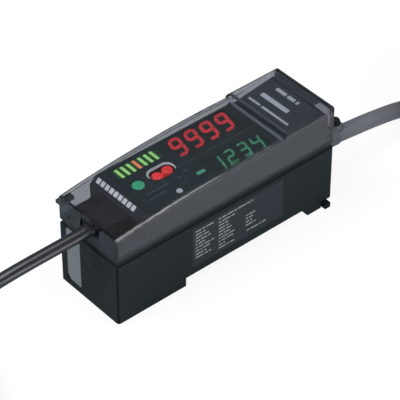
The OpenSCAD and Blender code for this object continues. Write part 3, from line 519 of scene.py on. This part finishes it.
def moulded(slot, tone, rough=0.5, grain=0.00001, lumps=2600.0, vary=0.12, level=0.5, painted_shade_edge=False):
    """Colour varies by `vary` over patches of some millimetres, gloss by a tenth, and the grain is a noise
    some tenths of a millimetre wide and `grain` metres deep. The dark edge switch paints the near left
    upright edge black, as painted shade."""
    f = Finish(slot)
    patches = f.noise(90.0, 3.0)
    fine = f.noise(lumps, 2.0)
    darker = tuple(c * (1 - vary) for c in tone[:3]) + (1.0,)
    lighter = tuple(min(1.0, c * (1 + vary)) for c in tone[:3]) + (1.0,)
    colour = f.tint(darker, lighter, patches)
    # Painted shade: the near left upright edge turns black.
    if painted_shade_edge:
        colour = f.tint(colour, rgb(6, 7, 8), f.painted_shade_left_edge())
    f.surface({"Base Color": colour,
               "Roughness": rough + (patches - 0.5) * 0.12 + (fine - 0.5) * 0.1,
               "Specular IOR Level": level,
               "Normal": f.bump(fine, grain)})
    finishes[slot] = f.material


# The case's near left upright edge is painted black, as painted shade.
moulded("case_plastic", rgb(27, 33, 35), 0.5, level=0.12, painted_shade_edge=True)
moulded("frame_plastic", rgb(33, 39, 45), 0.42, level=0.2)
moulded("panel_plastic", rgb(30, 44, 48), 0.4, grain=0.000004, level=0.2)
moulded("plate_plastic", rgb(102, 110, 115), 0.45)
moulded("latch_plastic", rgb(18, 20, 22), 0.5, level=0.15)
moulded("green_key", rgb(72, 190, 140), 0.32, grain=0.000003)
moulded("pale_plastic", rgb(214, 216, 220), 0.3, grain=0.000003)
moulded("display_black", rgb(24, 40, 42), 0.38, grain=0.000002, level=0.2)
moulded("connector_black", rgb(24, 25, 27), 0.45)
moulded("socket_nylon", rgb(22, 24, 26), 0.4)
moulded("boot_rubber", rgb(26, 27, 29), 0.62, grain=0.00002, lumps=1800.0)
moulded("chip_epoxy", rgb(30, 30, 32), 0.6)
moulded("capacitor_sleeve", rgb(34, 48, 92), 0.3)
moulded("lead_jacket", rgb(30, 33, 37), 0.24, grain=0.000004, lumps=1500.0)
moulded("cable_jacket", rgb(92, 95, 100), 0.42, grain=0.00001, lumps=1200.0)
moulded("boot_grey", rgb(74, 78, 85), 0.5, grain=0.00002, lumps=1800.0)
# A painted highlight: the raised edge's pale tone.
moulded("raised_edge", rgb(122, 132, 144), 0.36)
moulded("frame_end", rgb(46, 54, 62), 0.42)
# A painted highlight: the pale tone of the frame end's near corner block.
moulded("corner_painted_highlight", rgb(150, 149, 156), 0.42)
moulded("lip_grey", rgb(50, 56, 63), 0.34)
print("moulded finishes:", len(finishes))

# %% [markdown]
# ## Printed films
# The two labels are thin printed films, smoother than the plastic beside them.

# %% Printed film
moulded("label_film", rgb(50, 58, 65), 0.34, grain=0.000003, lumps=900.0, vary=0.06)
moulded("side_film", rgb(30, 37, 41), 0.4, grain=0.000003, lumps=900.0, vary=0.06, level=0.25)

# %% [markdown]
# ## The smoked cover
# The dust cover is clear plastic tinted grey, under a millimetre thick. It mirrors the room at a low
# angle and lets about half the light through. Glass that bends light would keep lamps from reaching
# what is under it, so for shadow rays alone it is swapped for a plain tinted filter.

# %% Smoked clear plastic
# Where the darker tone and the painted shadow begin, in metres
END_WALL_X = 0.0426
FOOT_SHADOW_Z = 0.0254
TAB_Y = 0.0139
FAR_WALL_Y = 0.0126
# The cover's crowned top and the painted shade line under it, in millimetres
CROWN_MIDDLE = 12.0
CROWN_TOP = 37.2
CROWN_FALL = 1 / 800
LINE_DEPTH = -1.95
LINE_HALF = 0.16


def smoked(slot, wall_tone, dark_and_shade_tone, rough):
    """Glass takes its colour for a whole wall. A wall has two faces, and the filter tints light at each, so
    the filter's colour is the square root of the wall's. The second tone takes over as a darker tone on the
    two end walls and the opening tab, and as painted shadow on the foot, where the cover stands on the case.
    It also takes over as painted shade in a thin line on the far wall, a set depth below the crown, which
    falls with the square of the distance from its middle, and on the rounded near left edge."""
    f = Finish(slot)
    haze = f.noise(60.0, 2.0)
    x, y, z = (f.axis(number) for number in range(3))
    from_middle = f.node("ShaderNodeMath", {"operation": "ABSOLUTE"}, {0: x})
    from_crown = x * 1000 - CROWN_MIDDLE
    below_top = z * 1000 - CROWN_TOP + from_crown * from_crown * CROWN_FALL
    painted_shade_line = f.node("ShaderNodeMath", {"operation": "COMPARE"},
                     {0: below_top, 1: LINE_DEPTH, 2: LINE_HALF})
    # The end walls and the tab take a darker tone. The foot gets painted shadow, and the far line and the
    # near left edge get painted shade.
    ends_tab_and_foot_shadow = f.above(from_middle, END_WALL_X) + f.below(z, FOOT_SHADOW_Z) + f.above(y, TAB_Y)
    painted = painted_shade_line * f.above(y, FAR_WALL_Y)
    darker_tone_and_painted_shade = f.node("ShaderNodeClamp", None, {"Value": ends_tab_and_foot_shadow + painted + f.painted_shade_left_edge()})
    glass = f.surface({"Base Color": f.tint(wall_tone, dark_and_shade_tone, darker_tone_and_painted_shade), "Roughness": rough + haze * 0.04,
                       "IOR": 1.46, "Transmission Weight": 1.0})
    face_tone = tuple(math.sqrt(c) for c in wall_tone[:3]) + (1.0,)
    tinted = f.node("ShaderNodeBsdfTransparent", None, {"Color": face_tone})
    both = f.node("ShaderNodeMixShader", None, {0: f.ray("shadow"), 1: glass, 2: tinted})
    f.tree.links.new(both.socket, f.end.inputs["Surface"])
    finishes[slot] = f.material


# The second tone is the darker ends and tab, plus the painted shadow and shade.
smoked("smoked_cover", rgb(192, 194, 199), rgb(74, 79, 86), 0.03)

# %% [markdown]
# ## Lit lamps and digits
# The bars and digits are lit from behind. A light guide is brighter in its middle than at its edge,
# and a little of its own colour shows even where it is dim.
# The red rocker caps take a painted glow from the same recipe, though they are no lamp.

# %% Lamps
def lit(slot, tone, glow, strength, core=None, uneven=900.0):
    """A coloured clear plastic that gives light. Where core is given as (first, pitch, half width, edge
    tone) in millimetres, each bar is brightest along its middle: the distance from the nearest bar's
    middle, over half the bar's width, squared, goes from the glow to the edge tone. Without core, the
    glow varies in soft patches, `uneven` of them to the metre."""
    f = Finish(slot)
    if core:
        first, pitch, half, edge = core
        turns = (f.axis(0) - (first - pitch / 2) * MM) * (1 / (pitch * MM))
        off = (f.node("ShaderNodeMath", {"operation": "FRACT"}, {0: turns}) - 0.5) * (pitch / half)
        colour = f.tint(glow, edge, off * off)
    else:
        patches = f.noise(uneven, 1.0)
        colour = f.tint(tuple(c * 0.4 for c in glow[:3]) + (1.0,), glow, (patches - 0.5) * 1.8 + 0.6)
    f.surface({"Base Color": tone, "Roughness": 0.3,
               "Emission Color": colour, "Emission Strength": strength})
    finishes[slot] = f.material


BAR_FIRST = -24.2
BAR_PITCH = 2.23
BAR_HALF = 0.65
bars = (BAR_FIRST, BAR_PITCH, BAR_HALF)
lit("green_lamp", rgb(60, 120, 50), rgb(200, 255, 160), 1.0, (*bars, rgb(40, 120, 24)))
lit("orange_lamp", rgb(150, 70, 40), rgb(255, 170, 130), 1.0, (*bars, rgb(150, 50, 24)))
lit("red_light", rgb(120, 16, 22), rgb(255, 74, 80), 0.8)
lit("green_light", rgb(24, 84, 60), rgb(120, 214, 168), 0.5)
lit("pilot_light", rgb(20, 110, 80), rgb(130, 224, 184), 0.6)
# The red caps are no lamp: their glow is painted light, uneven in soft patches.
lit("red_key", rgb(240, 52, 52), rgb(255, 56, 48), 0.42, uneven=260.0)

# %% [markdown]
# ## Metals and boards
# Screws, spring and switch shells are bright metal with fine marks along them. Circuit boards are
# green varnish over copper tracks, which show as slightly lighter paths.

# %% Metal and circuit board
def metal(slot, tone, rough):
    """Fine marks: a noise drawn out along X, in the gloss and in the surface."""
    f = Finish(slot)
    marks = f.noise(3000.0, 2.0, stretch=(0.08, 1.0, 1.0))
    f.surface({"Base Color": tone, "Metallic": 1.0, "Roughness": rough + (marks - 0.5) * 0.2,
               "Normal": f.bump(marks, 0.000004)})
    finishes[slot] = f.material


metal("spring_steel", rgb(190, 192, 196), 0.28)
metal("switch_metal", rgb(200, 200, 202), 0.3)
metal("screw_steel", rgb(170, 172, 176), 0.32)


def board(slot):
    """Tracks where a coarse blocky noise is above its middle, under green varnish."""
    f = Finish(slot)
    cells = f.node("ShaderNodeTexVoronoi", {"distance": "MANHATTAN"}, {"Vector": f.place(), "Scale": 420.0})
    tracks = f.node("ShaderNodeValToRGB", {"stops": [(0.42, (0, 0, 0)), (0.5, (1, 1, 1))]}, {0: cells})
    f.surface({"Base Color": f.tint(rgb(24, 84, 52), rgb(44, 116, 72), tracks), "Roughness": 0.3,
               "Normal": f.bump(tracks, 0.00003)})
    finishes[slot] = f.material


board("circuit_board")
moulded("wire_insulation", rgb(150, 60, 40), 0.35, grain=0.000003)

# %% [markdown]
# ## Giving the CAD pieces their finishes
# Each CAD node carries a slot name from the record, so the finish with that name goes in its place.

# %% Assign finishes
record_slot = {}
for row in frame["record"]["materials"]:
    for name in row.get("nodes", []):
        record_slot[name] = row["slot"]
for name, piece in frame["nodes"].items():
    for place in piece.material_slots:
        chosen = record_slot.get(name) or (place.material.name if place.material else None)
        if chosen in finishes:
            place.material = finishes[chosen]
        else:
            print("no finish for", name, chosen)
for name, finish in {"small_lamp": "pilot_light", "cable_boot": "boot_grey"}.items():
    for place in frame["nodes"][name].material_slots:
        place.material = finishes[finish]
for piece in (sensor_lead, output_cable, *straps):
    piece.data.materials.append(finishes[piece["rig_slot"]])

# %% Colours of the four wires
wire_tones = {"brown": rgb(98, 54, 34), "blue": rgb(32, 66, 150),
              "black": rgb(24, 24, 26), "white": rgb(210, 210, 208)}
for name, tone in wire_tones.items():
    moulded("wire_" + name, tone, 0.35, grain=0.000003)
    wires.data.materials.append(finishes["wire_" + name])
metal("wire_strands", rgb(205, 200, 190), 0.3)
wires.data.materials.append(finishes["wire_strands"])
wires.data.polygons.foreach_set("material_index", np.where(wire_kinds % 2 == 1, WIRES, wire_kinds // 2))

# %% [markdown]
# ## Printed marks
# The real unit is printed all over. This one stays without words, so its marks are bars and thin
# rules where print would be. Ink is a film a few hundredths of a millimetre thick: each mark is a thin
# block laid on its surface, and all marks of one surface are one mesh, worked out from a table of
# centres and sizes.

# %% Ink on a surface
INK = 0.03


def ink(name, marks, origin, along, across, slot, finish):
    """A mark is (a, b, length, width): its centre is origin + a * along + b * across, and it reaches
    half its length and width each way. It sinks INK into the surface and stands INK proud of it."""
    marks = np.asarray(marks, float)
    origin, along, across = (np.asarray(v, float) for v in (origin, along, across))
    outwards = np.cross(along, across)
    a, b, c = (v.ravel() for v in np.meshgrid((-0.5, 0.5), (-0.5, 0.5), (-1, 1), indexing="ij"))
    u = marks[:, :1] + marks[:, 2:3] * a
    v = marks[:, 1:2] + marks[:, 3:4] * b
    points = origin + u[..., None] * along + v[..., None] * across + (c * INK)[None, :, None] * outwards
    box = np.array([(0, 1, 3, 2), (4, 6, 7, 5), (0, 4, 5, 1), (2, 3, 7, 6), (0, 2, 6, 4), (1, 5, 7, 3)])
    faces = (np.arange(len(marks)) * 8)[:, None, None] + box
    piece = new_piece(name, points.reshape(-1, 3), faces.reshape(-1, 4), smooth=False)
    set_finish(piece, slot)
    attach(piece, BODY)
    piece.data.materials.append(finishes[finish])
    return piece


def box_of(node):
    """Lowest and highest corner of a CAD node in millimetres."""
    low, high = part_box(node)
    return np.array(low) / MM, np.array(high) / MM


moulded("pale_ink", rgb(205, 210, 214), 0.5, grain=0.000002)
moulded("side_ink", rgb(140, 146, 149), 0.5, grain=0.000002)
moulded("dim_ink", rgb(70, 88, 92), 0.5, grain=0.000002)
moulded("white_ink", rgb(236, 238, 240), 0.5, grain=0.000002)
moulded("window_green", rgb(24, 74, 22), 0.4, grain=0.000002)
moulded("margin_ink", rgb(184, 181, 188), 0.5, grain=0.000002)

# %% Marks on the panel and the slanted face
panel_top = (0, 0, box_of("front_panel")[1][2])
rules = [(7.2, -0.6, 30.0, 0.14), (-20.0, -4.6, 8.6, 0.36), (-22.0, -6.9, 7.2, 0.36),
         (-16.4, -3.2, 0.7, 0.7), (-11.6, -4.6, 1.3, 0.5), (-8.4, -3.4, 1.8, 0.5), (-12.0, -7.2, 1.2, 0.4)]
ink("panel_print", rules, panel_top, (1, 0, 0), (0, 1, 0), "panel_plastic", "dim_ink")

gaps = [(BAR_FIRST + BAR_PITCH * (i + 0.5), 8.3, BAR_PITCH - 2 * BAR_HALF, 4.4) for i in range(-1, 7)]
ink("lamp_window_print", gaps, panel_top, (1, 0, 0), (0, 1, 0), "panel_plastic", "window_green")

slope_foot = np.array([-32.0, 0, 31.5])
slope_head = np.array([-29.3, 0, 34.1])
slope_up = (slope_head - slope_foot) / np.linalg.norm(slope_head - slope_foot)
face_marks = [(-10.6 + 2.04 * i, 0.5, 1.5, 1.7) for i in range(9)]
ink("slanted_face_print", face_marks, (slope_foot + slope_head) / 2,
    (0, -1, 0), slope_up, "panel_plastic", "white_ink")
print("panel marks:", len(rules) + len(gaps), "blocks on the slanted face:", len(face_marks))

# %% Marks on the top label
# The sloping deck under the label runs from the first x and z to the second, in millimetres
DECK_FROM = (23.2, 34.3)
DECK_TO = (40.3, 36.5)
LABEL_THICK = 0.2
plate_low, plate_high = box_of("label_plate")
tilt = math.atan2(DECK_TO[1] - DECK_FROM[1], DECK_TO[0] - DECK_FROM[0])
plate_mid = np.array([(plate_low[0] + plate_high[0]) / 2, (plate_low[1] + plate_high[1]) / 2, 0.0])
plate_mid[2] = (DECK_FROM[1] + (plate_mid[0] - DECK_FROM[0]) * math.tan(tilt)
                + LABEL_THICK / math.cos(tilt))
up_deck = (math.cos(tilt), 0, math.sin(tilt))
label_rows = [(-3.6, 5.6, 4.4, 1.3), (1.0, 5.6, 3.2, 1.3), (3.8, 5.6, 1.0, 1.3),
              (-1.4, 0.9, 12.1, 1.6), (-6.6, -3.0, 5.2, 0.8), (2.8, -3.0, 12.0, 0.8)]
ink("label_plate_print", label_rows, plate_mid, (0, -1, 0), up_deck, "label_film", "pale_ink")
margins = [(-11.55, 0.0, 1.3, 16.8)]
ink("label_plate_margin", margins, plate_mid, (0, -1, 0), up_deck, "label_film", "margin_ink")
print("label marks:", len(label_rows) + len(margins), "deck tilt:", round(math.degrees(tilt), 1))

# %% Marks on the side label
# A column is its start, its reach and its number of lines. Words follow each other along a line.
side_low, side_high = box_of("side_label")
WORDS = (2.1, 1.2, 2.9, 0.8, 1.7, 2.4, 1.0, 3.1, 1.4, 0.7, 2.6)
COLUMNS = [(-17.2, 7.4, 9), (-8.0, 15.6, 1), (-8.0, 7.0, 9), (3.0, 4.6, 4), (3.4, 9.6, 1)]
COLUMN_TOPS = (6.1, 6.1, 4.7, 1.2, -5.0)
LINE_STEP = 1.3
WORD_GAP = 0.45
side_rows = []
for column, (start, reach, lines) in enumerate(COLUMNS):
    for line in range(lines):
        at = start
        word = column * 3 + line * 5
        height = COLUMN_TOPS[column] - LINE_STEP * line
        while at + WORDS[word % len(WORDS)] <= start + reach - (line * 7 % 5) * 0.4:
            wide = WORDS[word % len(WORDS)]
            side_rows.append((at + wide / 2, height, wide, 0.42))
            at = at + wide + WORD_GAP
            word += 1
side_mid = ((side_low[0] + side_high[0]) / 2, side_low[1], (side_low[2] + side_high[2]) / 2)
ink("side_label_print", side_rows, side_mid, (1, 0, 0), (0, 0, 1), "side_film", "side_ink")
print("side marks:", len(side_rows))

# %% [markdown]
# ## The rocker's two red caps and their collar
# The rocker is a dark bar that tips either way under two red domes, which stand in a slot. The slot's far
# wall ends in a pale rim, a painted highlight, and the near one is so thin that the caps hide it; the rest
# of the rim takes the panel's dark colour as painted shade, and the slot's inner wall is painted black as
# shade. The collar is a closed outline, a stadium, carried through rows of sizes and heights; each dome is a
# quarter of an ellipse turned about its own axis. The red caps carry a painted glow.

# %% Turned pieces and stadium rows
def turned(name, centre, axis, profile, count=32):
    """Point = centre + radius(i) * (cos a * one direction + sin a * the other) + height(i) * axis."""
    axis = np.asarray(axis, float)
    beside = (0.2, 0.3, 1.0) if axis[2] == 0 else (1.0, 0, 0)
    one = rows_of_unit(np.cross(axis, beside)[None])[0]
    other = np.cross(axis, one)
    ring = circle(1.0, count)
    radius, height = np.asarray(profile, float).T
    round_ = ring[None, :, :1] * one + ring[None, :, 1:] * other
    points = np.asarray(centre) + radius[:, None, None] * round_ + height[:, None, None] * axis
    faces = grid_faces(len(radius), count).tolist()
    faces += [list(range(count))[::-1], [(len(radius) - 1) * count + j for j in range(count)]]
    return new_piece(name, points.reshape(-1, 3), faces)


END_POINTS = 14


def stadium_rows(name, centre, run, rows, loop=False, per_end=END_POINTS):
    """Rows are (radius, height, shift, cut). Each row's points are half circles of that radius about two
    centres that are run - cut apart along X, moved by the shift along Y. loop joins the last to the
    first."""
    a = np.linspace(-np.pi / 2, np.pi / 2, per_end)
    unit = np.concatenate([np.stack([np.cos(a), np.sin(a)], 1), -np.stack([np.cos(a), np.sin(a)], 1)])
    way = np.repeat([0.5, -0.5], per_end)
    radius, height, shift, cut = np.asarray(rows, float).T
    x = centre[0] + (run - cut)[:, None] * way[None, :] + radius[:, None] * unit[None, :, 0]
    y = centre[1] + shift[:, None] + radius[:, None] * unit[None, :, 1]
    z = np.broadcast_to(height[:, None], x.shape)
    n, m = x.shape
    faces = grid_faces(n, m, loop).tolist()
    if not loop:
        faces += [list(range(m))[::-1], [(n - 1) * m + j for j in range(m)]]
    return new_piece(name, np.stack([x, y, z], -1).reshape(-1, 3), faces)


# %% Collar
RIM_CUT = 1.3
HOLE_SHIFT = -0.42
COLLAR_WALL = 0.48
FIRST_RIM_ROW = 3
FIRST_HOLE_ROW = 6
collar_low, collar_high = box_of("rocker_collar")
collar_mid = (collar_low + collar_high) / 2
collar_radius = (collar_high[1] - collar_low[1]) / 2
collar_run = (collar_high[0] - collar_low[0]) - 2 * collar_radius
hole = collar_radius - COLLAR_WALL
top = collar_high[2]
foot = collar_low[2]
collar_rows = [(collar_radius, foot, 0, 0),
               (collar_radius, top - 0.06, 0, 0),
               (collar_radius - 0.06, top, 0, 0),
               (collar_radius - 0.04, top + 0.01, 0, RIM_CUT),
               (hole + 0.06, top + 0.03, HOLE_SHIFT, RIM_CUT),
               (hole, top - 0.04, HOLE_SHIFT, RIM_CUT),
               (hole, top - 0.3, HOLE_SHIFT, RIM_CUT),
               (hole, foot, HOLE_SHIFT, RIM_CUT)]
collar = stadium_rows("rocker_slot_collar", collar_mid, collar_run, collar_rows, loop=True)
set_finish(collar, "pale_plastic")
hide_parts("rocker_collar")
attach(collar, BODY)
for name in ("panel_plastic", "pale_plastic", "connector_black"):
    collar.data.materials.append(finishes[name])
# Pale far and right rim as a painted highlight, the rest of the rim dark and the inner wall black as painted
# shade.
row_of_face = np.repeat(np.arange(len(collar_rows)), 2 * END_POINTS)
middles = np.array([face.center for face in collar.data.polygons]) / MM - collar_mid
painted_highlight_side = (middles[:, 1] > -0.6) | (middles[:, 0] > 3.0) & (middles[:, 1] > -1.9)
painted_highlight_rim = painted_highlight_side & (row_of_face >= FIRST_RIM_ROW)
kind = np.where(row_of_face >= FIRST_HOLE_ROW, 2, np.where(painted_highlight_rim, 1, 0))
collar.data.polygons.foreach_set("material_index", kind.astype(np.int32))
print("collar faces:", len(kind), "pale ones:", int((kind == 1).sum()))

# %% Rocker bar and caps
key_low, key_high = box_of("rocker_key")
key_mid = (key_low + key_high) / 2
key_radius = (key_high[1] - key_low[1]) / 2 - 0.1
key_run = (key_high[0] - key_low[0]) - 2 * key_radius - RIM_CUT
bar_top = key_high[2] - 0.9
rocker_bar = stadium_rows("rocker_bar", key_mid, key_run,
                          [(key_radius, key_low[2], 0, 0), (key_radius, bar_top - 0.3, 0, 0),
                           (key_radius - 0.3, bar_top, 0, 0)])
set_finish(rocker_bar, "connector_black")
rocker_bar.data.materials.append(finishes["connector_black"])
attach(rocker_bar, frame["nodes"]["rocker_key"]["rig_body"])

# Each cap's x from the key's middle, and its rise over the bar
CAP_PLACES = ((-2.1, 1.4), (1.75, 1.75))
CAP_RADIUS = 1.75
CAP_RISE = 0.7
around = np.linspace(0, np.pi / 2, 12)[:-1]
dome = [(CAP_RADIUS * np.cos(a), CAP_RISE * np.sin(a)) for a in around]
cap_profile = [(CAP_RADIUS, -1.8), *dome, (0.03, CAP_RISE)]
cap_parts = [turned("cap", (key_mid[0] + x, key_mid[1] - 0.7, bar_top + rise), (0, 0, 1), cap_profile)
             for x, rise in CAP_PLACES]
caps, _ = joined("rocker_caps", cap_parts)
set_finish(caps, "red_key")
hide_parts("rocker_key")
caps.data.materials.append(finishes["red_key"])
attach(caps, frame["nodes"]["rocker_key"]["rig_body"])
print("highest cap in mm:", round(max(v.co.z for v in caps.data.vertices) / MM, 2))

# %% [markdown]
# ## Small mouldings
# The frame ends in a narrow ridge under the cover's hinge end, with a paler block at its near corner, whose
# pale tone is a painted highlight. A raised edge runs across in front of the top label, pale as a painted
# highlight, and the cover has a thin lip at the step in its top. All four are a rounded outline carried
# across the case. A small lug with a black top stands on the boot, and the left end has a round gate mark,
# where the plastic was let into the mould. Those two are a profile turned about its axis.

# %% Bars across the case and the cover
BAR_POINTS = 25


def rounded(width, height, corner, per_corner=5):
    """A rectangle with quarter circles for corners, centred on zero."""
    return round_box(-width / 2, width / 2, -height / 2, height / 2, corner, per_corner)


def cross_bar(name, x, z, width, height, corner, y_low, y_high, finish, body=BODY):
    """A rounded outline carried from y_low to y_high at one x and z, and drawn in at its two ends."""
    share = np.linspace(-1, 1, BAR_POINTS)
    y = (y_low + y_high) / 2 + share * (y_high - y_low) / 2
    taper = np.sqrt(np.clip(1 - np.abs(share) ** 24, 0.1, 1))
    line = np.stack([np.full(BAR_POINTS, x), y, np.full(BAR_POINTS, z)], 1)
    bar = sweep(name, line, rounded(width, height, corner), scale=taper)
    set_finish(bar, "frame_plastic")
    bar.data.materials.append(finishes[finish])
    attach(bar, body)
    return bar


ridge = cross_bar("frame_end_ridge", 41.33, 33.6, 2.3, 6.2, 0.15, -7.6, 12.2, "frame_end")
# The block's pale tone is a painted highlight.
painted_highlight_block = cross_bar("frame_end_corner", 41.36, 33.65, 2.35, 6.3, 0.3, -12.3, -7.5, "corner_painted_highlight")
step_lip = cross_bar("cover_step_lip", 23.8, 37.8, 1.0, 0.5, 0.12, -13.2, 12.9, "lip_grey", "dust_cover")
# The raised edge's pale tone is a painted highlight.
edge_bar = cross_bar("label_edge", 23.3, 34.4, 0.8, 1.3, 0.35, -11.4, 12.5, "raised_edge")
print("cross bars:", ridge.name, painted_highlight_block.name, edge_bar.name, step_lip.name)

# %% Lug on the boot
LUG_POINTS = 24
LUG_BASE_ROWS = 2
lug_profile = [(2.7, -1.6), (2.5, -0.3), (1.75, 0.3), (1.65, 0.9),
               (1.5, 1.7), (1.15, 2.2), (0.6, 2.45), (0.03, 2.5)]
lug = turned("boot_lug", (58.4, 1.0, 14.9), (0, 0, 1), lug_profile, count=LUG_POINTS)
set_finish(lug, "boot_rubber")
lug.data.materials.append(finishes["boot_grey"])
lug.data.materials.append(finishes["latch_plastic"])
is_top = np.arange(len(lug.data.polygons)) >= LUG_POINTS * LUG_BASE_ROWS
lug.data.polygons.foreach_set("material_index", is_top.astype(np.int32))
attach(lug, BODY)

# %% Gate mark
case_left = box_of("lower_case")[0][0]
gate_profile = [(0.9, -0.2), (0.9, 0.02), (0.85, 0.06), (0.7, 0.06),
                (0.62, 0.0), (0.3, -0.02), (0.2, 0.05), (0.02, 0.06)]
gate = turned("gate_mark", (case_left, -0.4, 16.0), (-1, 0, 0), gate_profile)
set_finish(gate, "case_plastic")
gate.data.materials.append(finishes["connector_black"])
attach(gate, BODY)
print("gate mark faces:", len(gate.data.polygons), "lug faces:", len(lug.data.polygons))

# %% [markdown]
# ## Floor, backdrop and light
# The picture was taken on white. The floor is white because of its own colour, never because more
# light falls on the object: where the camera looks at it, straight or through clear plastic, part of
# its brightness is its own, and the rest is lit, so the object's soft shadow stays. Gloss sees the
# floor in two darker tones, one in front of the unit and one behind it, which keeps its sides dark.

# %% Floor
def white_floor(name, own, front_gloss, back_gloss):
    """A mix of a plain white surface and its own white, which has the share `own` where the camera looks
    at the floor, straight or through clear plastic. Gloss shows the floor in a darker tone, as it would
    beside dark cards, so that the shiny sides stay dark: one tone in front of the unit, where its long
    side mirrors the floor, and one behind it, where its left end does."""
    f = Finish(name)
    straight, glossy, through = (f.ray(kind) for kind in ("camera", "glossy", "through"))
    in_gloss = f.tint(front_gloss, back_gloss, f.above(f.axis(1), 0.0))
    colour = f.tint((0.94, 0.94, 0.94, 1.0), in_gloss, glossy)
    plain = f.node("ShaderNodeBsdfDiffuse", None, {"Color": colour})
    shine = f.node("ShaderNodeEmission", None, {"Color": (1, 1, 1, 1), "Strength": 1.0})
    share = f.node("ShaderNodeClamp", None, {"Value": (straight + through) * own})
    both = f.node("ShaderNodeMixShader", None, {0: share, 1: plain, 2: shine})
    f.tree.links.new(both.socket, f.end.inputs["Surface"])
    return f.material


FLOOR_HALF = 3000.0
FLOOR_LEVEL = -0.02
FRONT_GLOSS = (0.46, 0.5, 0.56, 1.0)
BACK_GLOSS = (0.25, 0.3, 0.34, 1.0)
floor_corners = [(x * FLOOR_HALF, y * FLOOR_HALF, FLOOR_LEVEL)
                 for x, y in ((-1, -1), (1, -1), (1, 1), (-1, 1))]
floor = new_piece("floor", floor_corners, [(0, 1, 2, 3)], smooth=False)
floor.data.materials.append(white_floor("floor_white", 0.88, FRONT_GLOSS, BACK_GLOSS))
print("floor in mm:", 2 * FLOOR_HALF)

# %% [markdown]
# The world is white to the camera. To everything else it is a soft room, brighter on one side: the
# strength follows how far a direction points towards that side.

# %% World
world = bpy.data.worlds.new("studio")
bpy.context.scene.world = world
world.use_nodes = True
sky = world.node_tree
sky.nodes.clear()
room = sky.nodes.new("ShaderNodeBackground")
room.inputs["Color"].default_value = (0.93, 0.96, 1.0, 1.0)
towards = sky.nodes.new("ShaderNodeTexCoord")
facing = sky.nodes.new("ShaderNodeVectorMath")
facing.operation = "DOT_PRODUCT"
facing.inputs[1].default_value = (-0.1, -0.93, 0.3)
soften = sky.nodes.new("ShaderNodeMapRange")
for key, value in {"From Min": -0.7, "From Max": 0.9, "To Min": 0.14, "To Max": 0.6}.items():
    soften.inputs[key].default_value = value
sky.links.new(towards.outputs["Generated"], facing.inputs[0])
sky.links.new(facing.outputs["Value"], soften.inputs["Value"])
sky.links.new(soften.outputs["Result"], room.inputs["Strength"])
white = sky.nodes.new("ShaderNodeBackground")
white.inputs["Strength"].default_value = 1.0
rays = sky.nodes.new("ShaderNodeLightPath")
pick = sky.nodes.new("ShaderNodeMixShader")
sky_end = sky.nodes.new("ShaderNodeOutputWorld")
sky.links.new(rays.outputs["Is Camera Ray"], pick.inputs[0])
sky.links.new(room.outputs[0], pick.inputs[1])
sky.links.new(white.outputs[0], pick.inputs[2])
sky.links.new(pick.outputs[0], sky_end.inputs["Surface"])
print("world nodes:", len(sky.nodes))

# %% [markdown]
# Three soft lamps light it: one high on the left in front, a tall narrow one in front on the right,
# and one high on the left behind. The tall one is what the cover's round edge mirrors as a pale line,
# wide at the left and gone at the right, because its mirror image runs off the lamp's side there.

# %% Soft lamps
def soft_lamp(name, place, watts, wide, tall):
    """An area lamp that looks at the middle of the unit."""
    lamp = bpy.data.objects.new(name, bpy.data.lights.new(name, "AREA"))
    lamp.data.shape = "RECTANGLE"
    lamp.data.size = wide
    lamp.data.size_y = tall
    lamp.data.energy = watts
    lamp.location = place
    lamp.rotation_mode = "QUATERNION"
    lamp.rotation_quaternion = (Vector((0, 0, 0.02)) - Vector(place)).to_track_quat("-Z", "Y")
    bpy.context.scene.collection.objects.link(lamp)
    return lamp


soft_lamp("lamp_left", (-0.6, -0.45, 0.8), 2.0, 0.5, 0.5)
soft_lamp("lamp_right", (0.3, -0.7, 0.72), 4.6, 0.24, 1.2)
soft_lamp("lamp_over", (-0.5, 0.25, 0.85), 7.5, 0.5, 0.5)

# %% Colour as written
bpy.context.scene.view_settings.view_transform = "Standard"
